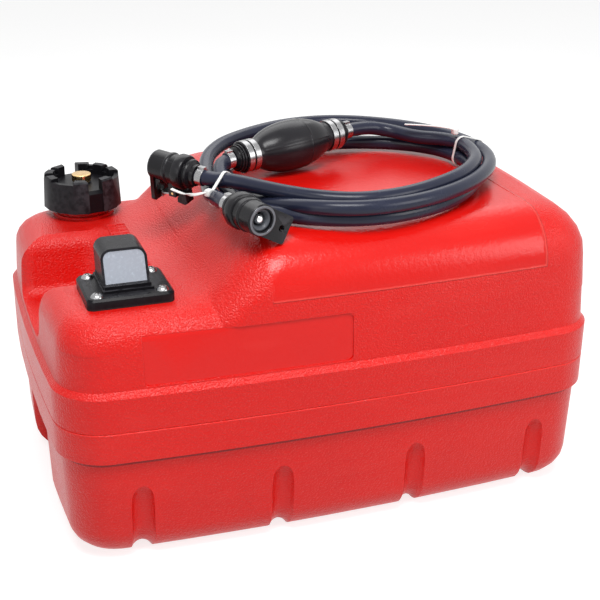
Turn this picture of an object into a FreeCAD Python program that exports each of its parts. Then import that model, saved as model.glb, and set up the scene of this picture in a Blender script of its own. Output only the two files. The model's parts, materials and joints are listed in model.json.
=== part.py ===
"""Portable outboard fuel tank with its filler cap, float gauge and primer hose.

Millimetres. +X runs along the tank, away from the cap and the gauge. +Y points to the back, and +Z up.
The origin is the middle of the footprint, on the surface that the tank stands on.
"""
import FreeCAD, Part
import math
import os

from FreeCAD import Placement, Rotation, Vector

os.makedirs("parts", exist_ok=True)

# ---------------------------------------------------------------- driving dimensions
# Tank moulding
TANK_LENGTH = 468.0
TANK_WIDTH = 322.0
TOP_Z = 253.0               # raised part
DECK_Z = 207.0              # lower deck that carries the cap and the gauge
WALL = 4.5
PLAN_CORNER_R = 42.0
SIDE_BULGE = 7.0            # how far the long faces swell in the middle
END_BULGE = 4.0
BAND_LOW_Z = 93.0
BAND_LIP = 2.0
BAND_SEAM_Z = 120.6
BAND_TOP_Z = 149.5
BAND_BEVEL = 4.5
SEAM_DEPTH = 0.8
LOWER_INSET = 4.5           # lower body behind the band
FOOT_INSET = 7.5
FOOT_R = 28.0
UPPER_INSET = 4.0           # upper body behind the band
UPPER_DRAFT = 0.06          # mm inwards per mm of height
DECK_EDGE_R = 24.0
TOP_EDGE_R = 42.0
EDGE_STEPS = 6              # flat strips in each rounded edge
INNER_STEPS = 3             # the same, inside
EDGE_CORNER_SHRINK = 0.3
SLOPE_FOOT_X = -122.0       # where the raised part leaves the deck
SLOPE_HEAD_X = -62.0        # where it reaches its full height
SLOPE_SPREAD = 0.35         # how fast it widens below the deck's face
# Hand recess above the band
RECESS_Y0 = -50.0
RECESS_Y1 = 50.0
VALLEY_FLOOR_Z = 158.0
VALLEY_DEPTH = 76.0
VALLEY_DRAFT = 5.0
VALLEY_LIP_R = 14.0
VALLEY_FLOOR_R = 12.0
VALLEY_CORNER_R = 18.0
# Finger recess below the band
FINGER_DEPTH = 40.0
FINGER_SHIFT = 6.0          # its front wall stands this much further back than the hand recess's
FINGER_DRAFT = 3.0
FINGER_MOUTH_R = 12.0
FINGER_CORNER_R = 10.0
FINGER_ROOF_RISE = 3.5
FINGER_ROOF_R = 8.0
RECESS_REACH = 30.0         # how far the recess tools stand out of the tank's end
# Grooves in the lower body
GROOVE_XS = (-170.0, -56.0, 60.5, 175.0)
GROOVE_R = 10.0
GROOVE_DEPTH = 5.0
GROOVE_TOP_Z = 60.5
GROOVE_UNDER = 16.0         # how far it runs on under the foot
GROOVE_DIVE_R = 22.0
GROOVE_STEPS = 4            # straight runs in each of its bends
# Label panel
LABEL_X0 = -164.5
LABEL_X1 = 1.1
LABEL_Z0 = 155.6
LABEL_Z1 = 195.0
LABEL_DEPTH = 1.2
LABEL_R = 5.0

# Filler neck and cap
CAP_X = -161.3
CAP_Y = 114.0
NECK_R = 24.5
NECK_BORE_R = 20.0
NECK_HEIGHT = 23.0
NECK_COLLAR_R = 27.5
NECK_COLLAR_H = 2.5
CAP_R = 35.3                # over the corners of its facets
CAP_TAPER = 1.5
CAP_FACETS = 16
CAP_LIFTED = 8.5            # gap between the deck and the cap's skirt
CAP_TOP_H = 37.5            # top of the tallest lugs above the deck
CAP_LOW_RIM_H = 35.0
CAP_FLOOR = 2.6             # thickness of the floor inside the rim
CAP_BOWL_R = 25.5
CAP_THREAD_GAP = 1.0
CAP_NOTCH_W = 13.2
CAP_NOTCH_DROP = 5.0        # how far its floor falls towards the outside
CAP_PANEL_DEPTH = 1.3       # the facet below each notch is set back by this
CAP_NOTCH_ANGLE = -78.0     # direction of the front notch
CAP_LUG_ANGLES = (22.5, 86.0, 123.0, 157.5)     # from each side of the notch
CAP_LUG_SPREAD = 22.5
CAP_STEP_R = 29.5           # inner step of the low stretches of the rim
GASKET_T = 2.5
VENT_STEM_R = 3.0
VENT_FIT = 0.05
VENT_BUSH_R = 5.0
VENT_BUSH_FLANGE_R = 7.0
VENT_BUSH_FLANGE_T = 1.0
VENT_BUSH_L = 6.0
VENT_SEAL_T = 0.8
VENT_KNOB_R = 8.75
VENT_KNOB_H = 6.5

# Gauge
GAUGE_X = -164.4
GAUGE_Y = -90.0
GAUGE_LX = 67.5
GAUGE_LY = 56.0
GAUGE_GASKET_T = 1.2
FLANGE_T = 7.3
FLANGE_CORNER_R = 6.0
FLANGE_BEVEL = 1.6
GAUGE_HOLE_R = 24.0
SPIGOT_R = 23.6
SPIGOT_H = 6.0
LEDGE_H = 1.9
LEDGE_1 = (-20.0, 20.0, -17.5, 26.0)    # x0, x1, y0, y1 about the gauge's middle
LEDGE_2 = (-18.6, 18.6, -13.5, 26.0)
HOOD_HALF_W = 18.0
HOOD_FRONT_Y = -9.5         # foot of the sloping front
HOOD_HEAD_Y = 0.5           # head of the sloping front
HOOD_BACK_Y = 25.0
HOOD_BACK_LEAN = 5.0        # how far the back leans outwards at its top
HOOD_TOP_Z = 244.4
HOOD_WALL = 1.8
HOOD_EDGE_R = 8.0
LENS_T = 2.4
LENS_SINK = 0.5
LENS_GAP = 0.15
SCREW_X = 25.2
SCREW_Y = 20.3
SCREW_SHANK_R = 2.0
SCREW_HEAD_R = 5.0
SCREW_HEAD_H = 3.2
SCREW_L = 17.0
INSERT_R = 3.2
INSERT_L = 9.5
BOSS_R = 6.0
# Float mechanism
SPINDLE_Y = 6.0
SPINDLE_R = 1.5
BUSH_R = 3.6
BUSH_FIT = 0.05
BUSH_UNDER = 2.0
STRIP_W = 5.0
STRIP_T = 1.0
STRIP_TWIST = 1.111         # degrees per mm of height
STRIP_STEPS = 24
DRUM_R = 6.5
DRUM_H = 12.0
ROD_X = 11.0
ROD_Y = -6.0
ROD_R = 1.5
ROD_FIT = 0.1
FOOT_PLATE_Z = 10.0
FOOT_PLATE_T = 4.0
FLOAT_R = 15.5
FLOAT_Y = -3.5
FLOAT_H = 24.0
FLOAT_REST_GAP = 0.3
FLOAT_BORE_R = 4.2
SLOT_PLATE_T = 2.0
SLOT_GAP = 0.3
# Pickup and outlet
PICKUP_Y = 18.0
PICKUP_R = 3.0
PICKUP_BORE_R = 2.0
PICKUP_END_Z = 12.0
STRAINER_R = 4.4
STRAINER_H = 16.0
OUTLET_R = 5.0
OUTLET_Z = 229.0
NIPPLE_R = 4.25
NIPPLE_L = 22.0

# Hose, primer bulb and clamps
HOSE_R = 6.25
HOSE_LEAD = 14.0
COIL_LIFT = 1.6             # the ties pass under the coil
COIL_TOP_Z = 280.0
COIL_OUTER = (52.0, -3.5, 128.0, 133.0)     # centre x, centre y, half length, half width
COIL_INNER = (45.0, -8.5, 106.0, 92.5)
COIL_EDGE_R = 6.0
BULB_CENTRE = (12.06, 34.7, 276.75)
BULB_AXIS = (0.942, 0.334, 0.034)
BULB_R = 22.5
BULB_HALF_L = 36.0          # egg without its necks
BULB_NECK_R = 13.0
BULB_NECK_L = 18.0
BAND_W = 5.5
BAND_T = 1.0
BAND_GAP = 0.1
BAND_SHIFTS = (7.5, 14.5)   # middle of each wide clamp along the neck
VALVE_L = 8.0
VALVE_R = 11.5
VALVE_RIB_R = 12.2
VALVE_CHAMBER_R = 6.5
VALVE_CHAMBER_L = 4.5
VALVE_PORT_R = 3.5
VALVE_SKIN = 1.5
DISC_R = 6.0
DISC_T = 1.2
CLAMP_W = 6.0
CLAMP_T = 0.9
CLAMP_SET_BACK = 1.0

# Quick connectors: mouth at the local origin, facing local +Z, plate towards local +X
CONN_R = 12.5
CONN_SOCKET_L = 24.0
CONN_NECK_R = 9.0
CONN_L = 42.0
CONN_RIB_R = 13.6
CONN_REAR_R = 11.0
CONN_BORE_R = 9.0
CONN_BORE_L = 14.0
CONN_WEB_T = 4.0
CONN_CHAMBER_R = 4.2
CONN_RING_R = 11.6
CONN_RING_BORE_R = 9.6
CONN_RING_SINK = 1.5
CONN_RING_PROUD = 0.6
PLATE_REACH = 28.3
PLATE_HALF_W = 11.5
PLATE_Z = -5.0
PLATE_T = 3.5
PLATE_HOLE_X = 21.0
PLATE_HOLE_R = 2.6
VALVE_BALL_R = 4.0
VALVE_BALL_Z = -6.0
VALVE_STEM_R = 1.6
VALVE_TRAVEL = 3.0
ORING_R = 7.65
ORING_WIRE_R = 1.3
ORING_Z = -12.0
LATCH_PIVOT = (19.0, -20.5)     # local x, z
LATCH_HALF_W = 5.0
LATCH_PIN_R = 1.25
LATCH_FIT = 0.05
EAR_T = 2.5
EAR_GAP = 0.3
TANK_MOUTH = (-116.0, 3.4, 280.0)
TANK_CONN_AXIS = (-0.651, 0.754, 0.083)
TANK_PLATE_WAY = (0.15, 0.11, -0.98)
ENGINE_MOUTH = (-67.6, -138.0, 272.2)
ENGINE_CONN_AXIS = (0.294, -0.956, 0.0)
ENGINE_PLATE_WAY = (0.84, 0.24, -0.487)

# Ties round the coil
TIE_W = 4.8
TIE_T = 1.2
TIE_HEAD = (8.0, 6.5, 5.6)
LEFT_TIE_AT = (-76.0, -52.0)
LEFT_TIE_SPAN = (-31.0, 25.0)
LEFT_TIE_TOP_Z = 285.5
LEFT_HEAD_LIFT = 3.0
LEFT_TAIL_L = 34.0
RIGHT_TIE_AT = (166.0, 3.0)
RIGHT_TIE_SPAN = (-18.0, 14.5)
RIGHT_HEAD_SHIFT = 5.0
RIGHT_TAIL_L = 44.0


# ---------------------------------------------------------------- small helpers
def v(x, y, z):
    return Vector(x, y, z)


def cylinder(r, h, base, axis=None):
    return Part.makeCylinder(r, h, base, axis or v(0, 0, 1))


def tube(r_out, r_in, h, base):
    return cylinder(r_out, h, base).cut(cylinder(r_in, h, base))


def box(x0, x1, y0, y1, z0, z1):
    return Part.makeBox(x1 - x0, y1 - y0, z1 - z0, v(x0, y0, z0))


def rounded_box(x0, x1, y0, y1, z0, z1, r):
    """A box whose four upright edges are rounded."""
    block = box(x0, x1, y0, y1, z0, z1)
    return block.makeFillet(r, [e for e in block.Edges if e.BoundBox.ZLength > z1 - z0 - 0.01])


def edges_at(shape, z, tolerance=0.01):
    """The edges that lie wholly at one height."""
    return [e for e in shape.Edges
            if abs(e.BoundBox.ZMin - z) < tolerance and abs(e.BoundBox.ZMax - z) < tolerance]


def loft(wires, ruled=False):
    return Part.makeLoft(wires, True, ruled)


def turned(points):
    """A solid of revolution about Z from (radius, height) corners, given anticlockwise from the axis."""
    wire = Part.makePolygon([v(r, 0, z) for r, z in points + points[:1]])
    return Part.Face(wire).revolve(v(0, 0, 0), v(0, 0, 1), 360)


def plate_xz(points, y0, y1):
    """A prism along Y with (x, z) corners."""
    wire = Part.makePolygon([v(x, y0, z) for x, z in points + points[:1]])
    return Part.Face(wire).extrude(v(0, y1 - y0, 0))


def placed(shape, origin, z_way, x_way):
    """The shape moved from the local frame: local Z along z_way, local X as near x_way as it can be."""
    z_axis = Vector(*z_way).normalize()
    x_hint = Vector(*x_way)
    x_axis = (x_hint - z_axis * x_hint.dot(z_axis)).normalize()
    moved = shape.copy()
    moved.Placement = Placement(Vector(*origin), Rotation(x_axis, z_axis.cross(x_axis), z_axis, "ZXY"))
    return moved


def group(shapes):
    return Part.makeCompound(shapes)


def save(name, shape):
    shape.exportStep("parts/" + name + ".step")
    print(name, len(shape.Solids), shape.isValid(), round(shape.Volume / 1000, 3))


# ---------------------------------------------------------------- plan outline of the tank
def bulge_radius(half_chord, bulge):
    return half_chord ** 2 / (2 * bulge)


FOOT_LEAN = (FOOT_INSET - LOWER_INSET) / BAND_LOW_Z
SIDE_R = bulge_radius(TANK_LENGTH / 2 - PLAN_CORNER_R, SIDE_BULGE)
END_R = bulge_radius(TANK_WIDTH / 2 - PLAN_CORNER_R, END_BULGE)


def corner_arc(x_end, half_width, r, way):
    """Start, middle and end of the arc that rounds the back corner at x_end; way is +1 for a right end.

    The long side's arc is centred on x = 0 and the end's arc on y = 0. The corner's centre lies where a
    circle of SIDE_R - r round the one centre meets a circle of END_R - r round the other.
    """
    side_centre = v(0, half_width - SIDE_R, 0)
    end_centre = v(x_end - way * END_R, 0, 0)
    a = SIDE_R - r
    b = END_R - r
    between = end_centre - side_centre
    d = between.Length
    along = (a * a - b * b + d * d) / (2 * d)
    across = math.sqrt(a * a - along * along)
    unit = between * (1 / d)
    normal = v(-unit.y, unit.x, 0)
    if normal.y < 0:
        normal = normal * -1
    centre = side_centre + unit * along + normal * across
    on_side = centre + (centre - side_centre).normalize() * r
    on_end = centre + (centre - end_centre).normalize() * r
    middle = centre + ((on_side + on_end) * 0.5 - centre).normalize() * r
    return on_side, middle, on_end


def outline(inset, z, r, x_left=None):
    """The tank's plan at one height: four bulged sides and four tangent corner arcs."""
    half_l = TANK_LENGTH / 2 - inset
    half_w = TANK_WIDTH / 2 - inset
    x_left = -half_l if x_left is None else x_left
    right = corner_arc(half_l, half_w, r, 1)
    left = corner_arc(x_left, half_w, r, -1)
    top_x = (right[0].x + left[0].x) / 2
    top_y = half_w - SIDE_R + math.sqrt(SIDE_R ** 2 - top_x ** 2)
    half = [right[2], right[1], right[0], v(top_x, top_y, 0), left[0], left[1], left[2]]
    back = [v(p.x, p.y, z) for p in half]
    front = [v(p.x, -p.y, z) for p in reversed(half)]
    loop = back + [v(x_left, 0, z)] + front + [v(half_l, 0, z)] + back[:1]
    return Part.Wire([Part.Arc(*loop[i:i + 3]).toShape() for i in range(0, 16, 2)])


# ---------------------------------------------------------------- tank moulding
def upper_inset(z):
    return UPPER_INSET + UPPER_DRAFT * (z - BAND_TOP_Z - BAND_BEVEL)


def steps_of(skin):
    return INNER_STEPS if skin else EDGE_STEPS


def foot_sections(skin):
    """(inset, height) pairs of the quarter turn from the flat foot up into the lower wall."""
    pairs = []
    for step in range(steps_of(skin) + 1):
        turn = math.pi / 2 * step / steps_of(skin)
        rise = (FOOT_R - skin) * (1 - math.cos(turn))
        pairs.append((FOOT_INSET - FOOT_LEAN * rise + (FOOT_R - skin) * (1 - math.sin(turn)), skin + rise))
    return pairs


def foot_corner(inset):
    """Plan corner radius of the lower body: it shrinks more slowly than the outline under the foot."""
    shrink = min(inset, FOOT_INSET) + EDGE_CORNER_SHRINK * max(inset - FOOT_INSET, 0)
    return PLAN_CORNER_R - shrink


def lower_and_band(skin):
    """Foot, band and upright wall, up to where the deck's edge begins to turn over."""
    shoulder_z = DECK_Z - DECK_EDGE_R
    sections = foot_sections(skin) + [
        (LOWER_INSET, BAND_LOW_Z + skin),
        (0.0, BAND_LOW_Z + skin + BAND_LIP),
        (0.0, BAND_SEAM_Z - SEAM_DEPTH),
        (SEAM_DEPTH, BAND_SEAM_Z),
        (0.0, BAND_SEAM_Z + SEAM_DEPTH),
        (0.0, BAND_TOP_Z - skin),
        (UPPER_INSET, BAND_TOP_Z + BAND_BEVEL - skin),
        (upper_inset(shoulder_z), shoulder_z),
    ]
    wires = []
    for inset, z in sections:
        wires.append(outline(inset + skin, z, foot_corner(inset) - skin))
    return loft(wires, ruled=True)


def edge_sections(edge_r, top_z, skin):
    """(inset, height) pairs of a quarter turn from the upright wall to a flat top."""
    start_z = top_z - edge_r
    radius = edge_r - skin
    pairs = []
    for step in range(steps_of(skin) + 1):
        turn = math.pi / 2 * step / steps_of(skin)
        inset = upper_inset(start_z) + skin + radius * (1 - math.cos(turn))
        pairs.append((inset, start_z + radius * math.sin(turn)))
    return pairs


def edge_corner(inset):
    """Plan corner radius while an edge turns over: it shrinks more slowly than the outline."""
    wall_corner = PLAN_CORNER_R - upper_inset(DECK_Z)
    return wall_corner - EDGE_CORNER_SHRINK * max(inset - upper_inset(DECK_Z), 0)


def deck_block(skin):
    wires = [outline(inset, z, edge_corner(inset))
             for inset, z in edge_sections(DECK_EDGE_R, DECK_Z, skin)]
    return loft(wires, ruled=True)


def slope_x(z):
    """Left end of the raised part at one height: a cosine ramp from the deck to the top."""
    t = min(max((z - DECK_Z) / (TOP_Z - DECK_Z), 0), 1)
    below = min(z - DECK_Z, 0) * SLOPE_SPREAD
    return SLOPE_FOOT_X + (SLOPE_HEAD_X - SLOPE_FOOT_X) * math.acos(1 - 2 * t) / math.pi + below


def raised_block(skin):
    start = DECK_Z - DECK_EDGE_R
    turn_z = TOP_Z - TOP_EDGE_R
    pairs = [(upper_inset(z) + skin, z) for z in (start, (start + turn_z) / 2)]
    pairs += edge_sections(TOP_EDGE_R, TOP_Z, skin)
    wires = [outline(inset, z, edge_corner(inset), slope_x(z + skin) + skin) for inset, z in pairs]
    return loft(wires, ruled=True)


def recess_plan(y0, y1, x_back, flare, r, z):
    """Plan of a recess in the left end: open to the left, its mouth flaring round two quarter circles."""
    x_out = -TANK_LENGTH / 2 - RECESS_REACH
    x_face = -TANK_LENGTH / 2 + UPPER_INSET
    k = math.sqrt(0.5)
    q = x_face + flare
    points = [
        (v(x_out, y0 - flare, z), v(x_face, y0 - flare, z)),
        (v(x_face, y0 - flare, z), v(q - flare * k, y0 - flare + flare * k, z), v(q, y0, z)),
        (v(q, y0, z), v(x_back - r, y0, z)),
        (v(x_back - r, y0, z), v(x_back - r + r * k, y0 + r - r * k, z), v(x_back, y0 + r, z)),
        (v(x_back, y0 + r, z), v(x_back, y1 - r, z)),
        (v(x_back, y1 - r, z), v(x_back - r + r * k, y1 - r + r * k, z), v(x_back - r, y1, z)),
        (v(x_back - r, y1, z), v(q, y1, z)),
        (v(q, y1, z), v(q - flare * k, y1 + flare - flare * k, z), v(x_face, y1 + flare, z)),
        (v(x_face, y1 + flare, z), v(x_out, y1 + flare, z)),
        (v(x_out, y1 + flare, z), v(x_out, y0 - flare, z)),
    ]
    edges = []
    for p in points:
        edges.append(Part.LineSegment(*p).toShape() if len(p) == 2 else Part.Arc(*p).toShape())
    return Part.Wire(edges)


def recess_wire(y0, y1, depth, grow, flare, corner_r, z):
    """A recess outline grown outwards on its three closed sides."""
    x_back = -TANK_LENGTH / 2 + depth + grow
    return recess_plan(y0 - grow, y1 + grow, x_back, flare, corner_r, z)


def valley(skin):
    """The hand recess above the band: drafted walls, a rounded floor, and lips that roll over on to the deck."""
    lip_z = DECK_Z - VALLEY_LIP_R
    draft = [(-VALLEY_DRAFT, VALLEY_FLOOR_Z - skin), (0.0, lip_z)]
    roll = [math.radians(turn) for turn in (22, 42, 60, 76)]
    lips = [(VALLEY_LIP_R * (1 - math.cos(a)), lip_z + VALLEY_LIP_R * math.sin(a)) for a in roll]
    wires = []
    for grow, z in draft + lips + [(VALLEY_LIP_R * 1.6, DECK_Z + 6)]:
        wires.append(recess_wire(RECESS_Y0, RECESS_Y1, VALLEY_DEPTH, grow + skin, VALLEY_LIP_R - skin,
                                 VALLEY_CORNER_R, z))
    tool = loft(wires, ruled=True)
    return tool.makeFillet(VALLEY_FLOOR_R, edges_at(tool, VALLEY_FLOOR_Z - skin))


def finger_recess(skin):
    """The pocket below the band that the fingers reach into, its roof rounded into the walls."""
    roof = BAND_LOW_Z + FINGER_ROOF_RISE + skin
    wires = [recess_wire(RECESS_Y0 + FINGER_SHIFT, RECESS_Y1, FINGER_DEPTH, skin + grow, FINGER_MOUTH_R - skin,
                         FINGER_CORNER_R, z) for grow, z in ((FINGER_DRAFT, -5.0), (0.0, roof))]
    tool = loft(wires, ruled=True)
    return tool.makeFillet(FINGER_ROOF_R, edges_at(tool, roof))


def arc_points(start, way, r, count):
    """(y, z) points of a quarter turn that leaves its start along z; way is -1 or +1 in y, r its radius."""
    turns = [math.pi / 2 * i / count for i in range(count + 1)]
    return [(start[0] + way * r * (1 - math.cos(a)), start[1] + r * math.sin(a)) for a in turns]


def groove(x, side, skin):
    """One upright groove: a round bar that dives into the lower wall, runs down it and on round the foot."""
    y_axis = TANK_WIDTH / 2 - FOOT_INSET - x * x / (2 * SIDE_R) + GROOVE_R - GROOVE_DEPTH
    foot_bend = FOOT_R + GROOVE_R - GROOVE_DEPTH
    dive_z = GROOVE_TOP_Z - GROOVE_R
    y_dive = y_axis + FOOT_LEAN * (dive_z - FOOT_R)
    dive = arc_points((y_dive, dive_z), 1, GROOVE_DIVE_R, GROOVE_STEPS)
    bend = [(y, 2 * FOOT_R - z) for y, z in arc_points((y_axis, FOOT_R), -1, foot_bend, GROOVE_STEPS)]
    end = [(bend[-1][0] - GROOVE_UNDER, bend[-1][1])]
    points = [v(x, side * y, z) for y, z in dive[::-1] + bend + end]
    ring = Part.Wire([Part.Circle(points[0], points[0] - points[1], GROOVE_R + skin).toShape()])
    return Part.makePolygon(points).makePipeShell([ring], True, False, 1)


def grooves(skin):
    return [groove(x, side, skin) for x in GROOVE_XS for side in (-1, 1)]


def tank_form(skin):
    """The moulding's outer form, or the same form skin millimetres further in."""
    form = lower_and_band(skin).multiFuse([deck_block(skin), raised_block(skin)])
    form = form.cut(valley(skin))
    form = form.cut(finger_recess(skin))
    return form.cut(grooves(skin))


def label_pocket():
    """A shallow panel with rounded corners, sunk into the swelling front wall."""
    height = LABEL_Z1 - LABEL_Z0
    slab = rounded_box(LABEL_X0, LABEL_X1, 0, height, 0, TANK_WIDTH / 4, LABEL_R)
    slab.rotate(v(0, 0, 0), v(1, 0, 0), 90)
    slab.translate(v(0, -TANK_WIDTH / 4, LABEL_Z0))
    walls = [outline(upper_inset(z) + LABEL_DEPTH, z, PLAN_CORNER_R - UPPER_INSET)
             for z in (LABEL_Z0 - 10, LABEL_Z1 + 10)]
    return slab.cut(loft(walls, ruled=True))


def screw_places():
    return [(GAUGE_X + sx * SCREW_X, GAUGE_Y + sy * SCREW_Y) for sx in (-1, 1) for sy in (-1, 1)]


def tank_body():
    """The hollow moulding, with its filler neck, the hole for the gauge and the bosses for its screws."""
    neck = [cylinder(NECK_R, NECK_HEIGHT + WALL, v(CAP_X, CAP_Y, DECK_Z - WALL)),
            cylinder(NECK_COLLAR_R, NECK_COLLAR_H + WALL, v(CAP_X, CAP_Y, DECK_Z - WALL))]
    outer = tank_form(0).multiFuse(neck)
    boss_floor = DECK_Z - INSERT_L - WALL / 2
    bosses = [cylinder(BOSS_R, DECK_Z - boss_floor, v(x, y, boss_floor)) for x, y in screw_places()]
    cavity = tank_form(WALL).cut(bosses)
    cuts = [cavity, label_pocket(),
            cylinder(NECK_BORE_R, NECK_HEIGHT + 2 * WALL, v(CAP_X, CAP_Y, DECK_Z - 1.5 * WALL)),
            cylinder(GAUGE_HOLE_R, 2 * WALL, v(GAUGE_X, GAUGE_Y, DECK_Z - 1.5 * WALL))]
    cuts += [cylinder(INSERT_R, INSERT_L + 1, v(x, y, DECK_Z - INSERT_L)) for x, y in screw_places()]
    return outer.cut(cuts)


# ---------------------------------------------------------------- filler cap
NECK_TOP_Z = DECK_Z + NECK_HEIGHT
CAP_FLOOR_Z = NECK_TOP_Z + GASKET_T + CAP_FLOOR
CAP_TOP_Z = DECK_Z + CAP_TOP_H


def faceted(r, z, turn):
    """A regular polygon at one height, with its corners on radius r."""
    points = []
    for i in range(CAP_FACETS + 1):
        a = math.radians(turn + 360.0 / CAP_FACETS * (i + 0.5))
        points.append(v(r * math.cos(a), r * math.sin(a), z))
    return Part.makePolygon(points)


def lug_wedges(z0, z1):
    """The wedges of the rim that stay at full height."""
    wedges = []
    for angle in CAP_LUG_ANGLES:
        for side in (-1, 1):
            wedge = Part.makeCylinder(CAP_R + 2, z1 - z0, v(0, 0, z0), v(0, 0, 1), CAP_LUG_SPREAD)
            wedge.rotate(v(0, 0, 0), v(0, 0, 1), CAP_NOTCH_ANGLE + side * angle - CAP_LUG_SPREAD / 2)
            wedges.append(wedge)
    return wedges


def filler_cap():
    """A faceted cap: skirt, floor, and a castellated rim with two opposite notches, made about its axis."""
    skirt_z = DECK_Z + CAP_LIFTED
    body = loft([faceted(CAP_R, skirt_z, CAP_NOTCH_ANGLE), faceted(CAP_R - CAP_TAPER, CAP_TOP_Z, CAP_NOTCH_ANGLE)],
                ruled=True)
    body = body.makeChamfer(1.4, edges_at(body, CAP_TOP_Z))
    bore = cylinder(NECK_R + CAP_THREAD_GAP + 2, NECK_TOP_Z + GASKET_T - skirt_z, v(0, 0, skirt_z))
    bowl = cylinder(CAP_BOWL_R, CAP_TOP_H, v(0, 0, CAP_FLOOR_Z))
    low_rim = DECK_Z + CAP_LOW_RIM_H
    low = tube(CAP_R + 1, 0.1, CAP_TOP_H, v(0, 0, low_rim)).cut(lug_wedges(low_rim - 1, low_rim + CAP_TOP_H + 1))
    ledge = tube(CAP_STEP_R, CAP_BOWL_R - 1, CAP_TOP_H, v(0, 0, low_rim - 3))
    ledge = ledge.cut(lug_wedges(low_rim - 4, low_rim + CAP_TOP_H))
    half = CAP_NOTCH_W / 2
    reach = CAP_R + 2
    fall = CAP_FLOOR_Z - CAP_NOTCH_DROP
    notch = plate_xz([(-reach, fall), (-CAP_STEP_R, CAP_FLOOR_Z), (CAP_STEP_R, CAP_FLOOR_Z), (reach, fall),
                      (reach, CAP_TOP_Z + 5), (-reach, CAP_TOP_Z + 5)], -half, half)
    panel_x = CAP_R * math.cos(math.pi / CAP_FACETS) - CAP_PANEL_DEPTH
    panels = [box(panel_x, reach, -half, half, skirt_z - 1, CAP_TOP_Z),
              box(-reach, -panel_x, -half, half, skirt_z - 1, CAP_TOP_Z)]
    for cut in [notch] + panels:
        cut.rotate(v(0, 0, 0), v(0, 0, 1), CAP_NOTCH_ANGLE)
    vent_hole = cylinder(VENT_BUSH_R, 20, v(0, 0, NECK_TOP_Z - 5))
    return body.cut([bore, bowl, low, ledge, notch, vent_hole] + panels)


def cap_pieces():
    seat = CAP_FLOOR_Z
    gasket = tube(NECK_R, NECK_BORE_R, GASKET_T, v(0, 0, NECK_TOP_Z))
    bush = turned([(VENT_STEM_R + VENT_FIT, seat + VENT_BUSH_FLANGE_T),
                   (VENT_STEM_R + VENT_FIT, seat + VENT_BUSH_FLANGE_T - VENT_BUSH_L),
                   (VENT_BUSH_R, seat + VENT_BUSH_FLANGE_T - VENT_BUSH_L), (VENT_BUSH_R, seat),
                   (VENT_BUSH_FLANGE_R, seat), (VENT_BUSH_FLANGE_R, seat + VENT_BUSH_FLANGE_T)])
    seal_z = seat + VENT_BUSH_FLANGE_T
    seal = tube(VENT_BUSH_FLANGE_R, VENT_STEM_R + VENT_FIT, VENT_SEAL_T, v(0, 0, seal_z))
    knob_z = seal_z + VENT_SEAL_T
    knob = cylinder(VENT_KNOB_R, VENT_KNOB_H, v(0, 0, knob_z))
    knob = knob.makeFillet(1.0, edges_at(knob, knob_z + VENT_KNOB_H))
    stem = cylinder(VENT_STEM_R, VENT_BUSH_L + VENT_SEAL_T + 2, v(0, 0, knob_z - VENT_BUSH_L - VENT_SEAL_T - 2))
    pieces = {"filler_cap": filler_cap(), "cap_gasket": gasket, "vent_bush": bush, "vent_seal": seal,
              "vent_screw": knob.fuse(stem)}
    for shape in pieces.values():
        shape.translate(v(CAP_X, CAP_Y, 0))
    return pieces


# ---------------------------------------------------------------- gauge
FLANGE_Z = DECK_Z + GAUGE_GASKET_T
FLANGE_TOP_Z = FLANGE_Z + FLANGE_T
HOOD_Z = FLANGE_TOP_Z + 2 * LEDGE_H
DRUM_Z = HOOD_Z + 2.0
SPIGOT_Z = FLANGE_Z - SPIGOT_H
FLOAT_Z = FOOT_PLATE_Z + FOOT_PLATE_T + FLOAT_REST_GAP
SLOT_Z = FLOAT_Z + SLOT_PLATE_T / 2


def gauge_gasket():
    half_x = GAUGE_LX / 2
    half_y = GAUGE_LY / 2
    sheet = rounded_box(-half_x, half_x, -half_y, half_y, DECK_Z, FLANGE_Z, FLANGE_CORNER_R)
    holes = [cylinder(GAUGE_HOLE_R, 10, v(0, 0, DECK_Z - 1))]
    holes += [cylinder(SCREW_SHANK_R + 0.3, 10, v(x - GAUGE_X, y - GAUGE_Y, DECK_Z - 1)) for x, y in screw_places()]
    return sheet.cut(holes)


def gauge_flange():
    """The flange, its two ledges and the spigot that drops into the tank, about the gauge's middle."""
    half_x = GAUGE_LX / 2
    half_y = GAUGE_LY / 2
    plate = rounded_box(-half_x, half_x, -half_y, half_y, FLANGE_Z, FLANGE_TOP_Z, FLANGE_CORNER_R)
    plate = plate.makeChamfer(FLANGE_BEVEL, edges_at(plate, FLANGE_TOP_Z))
    x0, x1, y0, y1 = LEDGE_1
    first = rounded_box(x0, x1, y0, y1, FLANGE_TOP_Z - 1, FLANGE_TOP_Z + LEDGE_H, 2.0)
    x0, x1, y0, y1 = LEDGE_2
    second = rounded_box(x0, x1, y0, y1, FLANGE_TOP_Z - 1, HOOD_Z, 2.0)
    spigot = cylinder(SPIGOT_R, SPIGOT_H + 1, v(0, 0, SPIGOT_Z))
    body = plate.multiFuse([first, second, spigot])
    cuts = [cylinder(SCREW_SHANK_R + 0.3, 40, v(x - GAUGE_X, y - GAUGE_Y, DECK_Z - 1)) for x, y in screw_places()]
    cuts.append(cylinder(BUSH_R, 40, v(0, SPINDLE_Y, SPIGOT_Z - 1)))
    cuts.append(cylinder(PICKUP_R, 40, v(0, PICKUP_Y, SPIGOT_Z - 1)))
    cuts += [cylinder(ROD_R, SPIGOT_H, v(x, ROD_Y, SPIGOT_Z - 1)) for x in (-ROD_X, ROD_X)]
    return body.cut(cuts)


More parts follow.
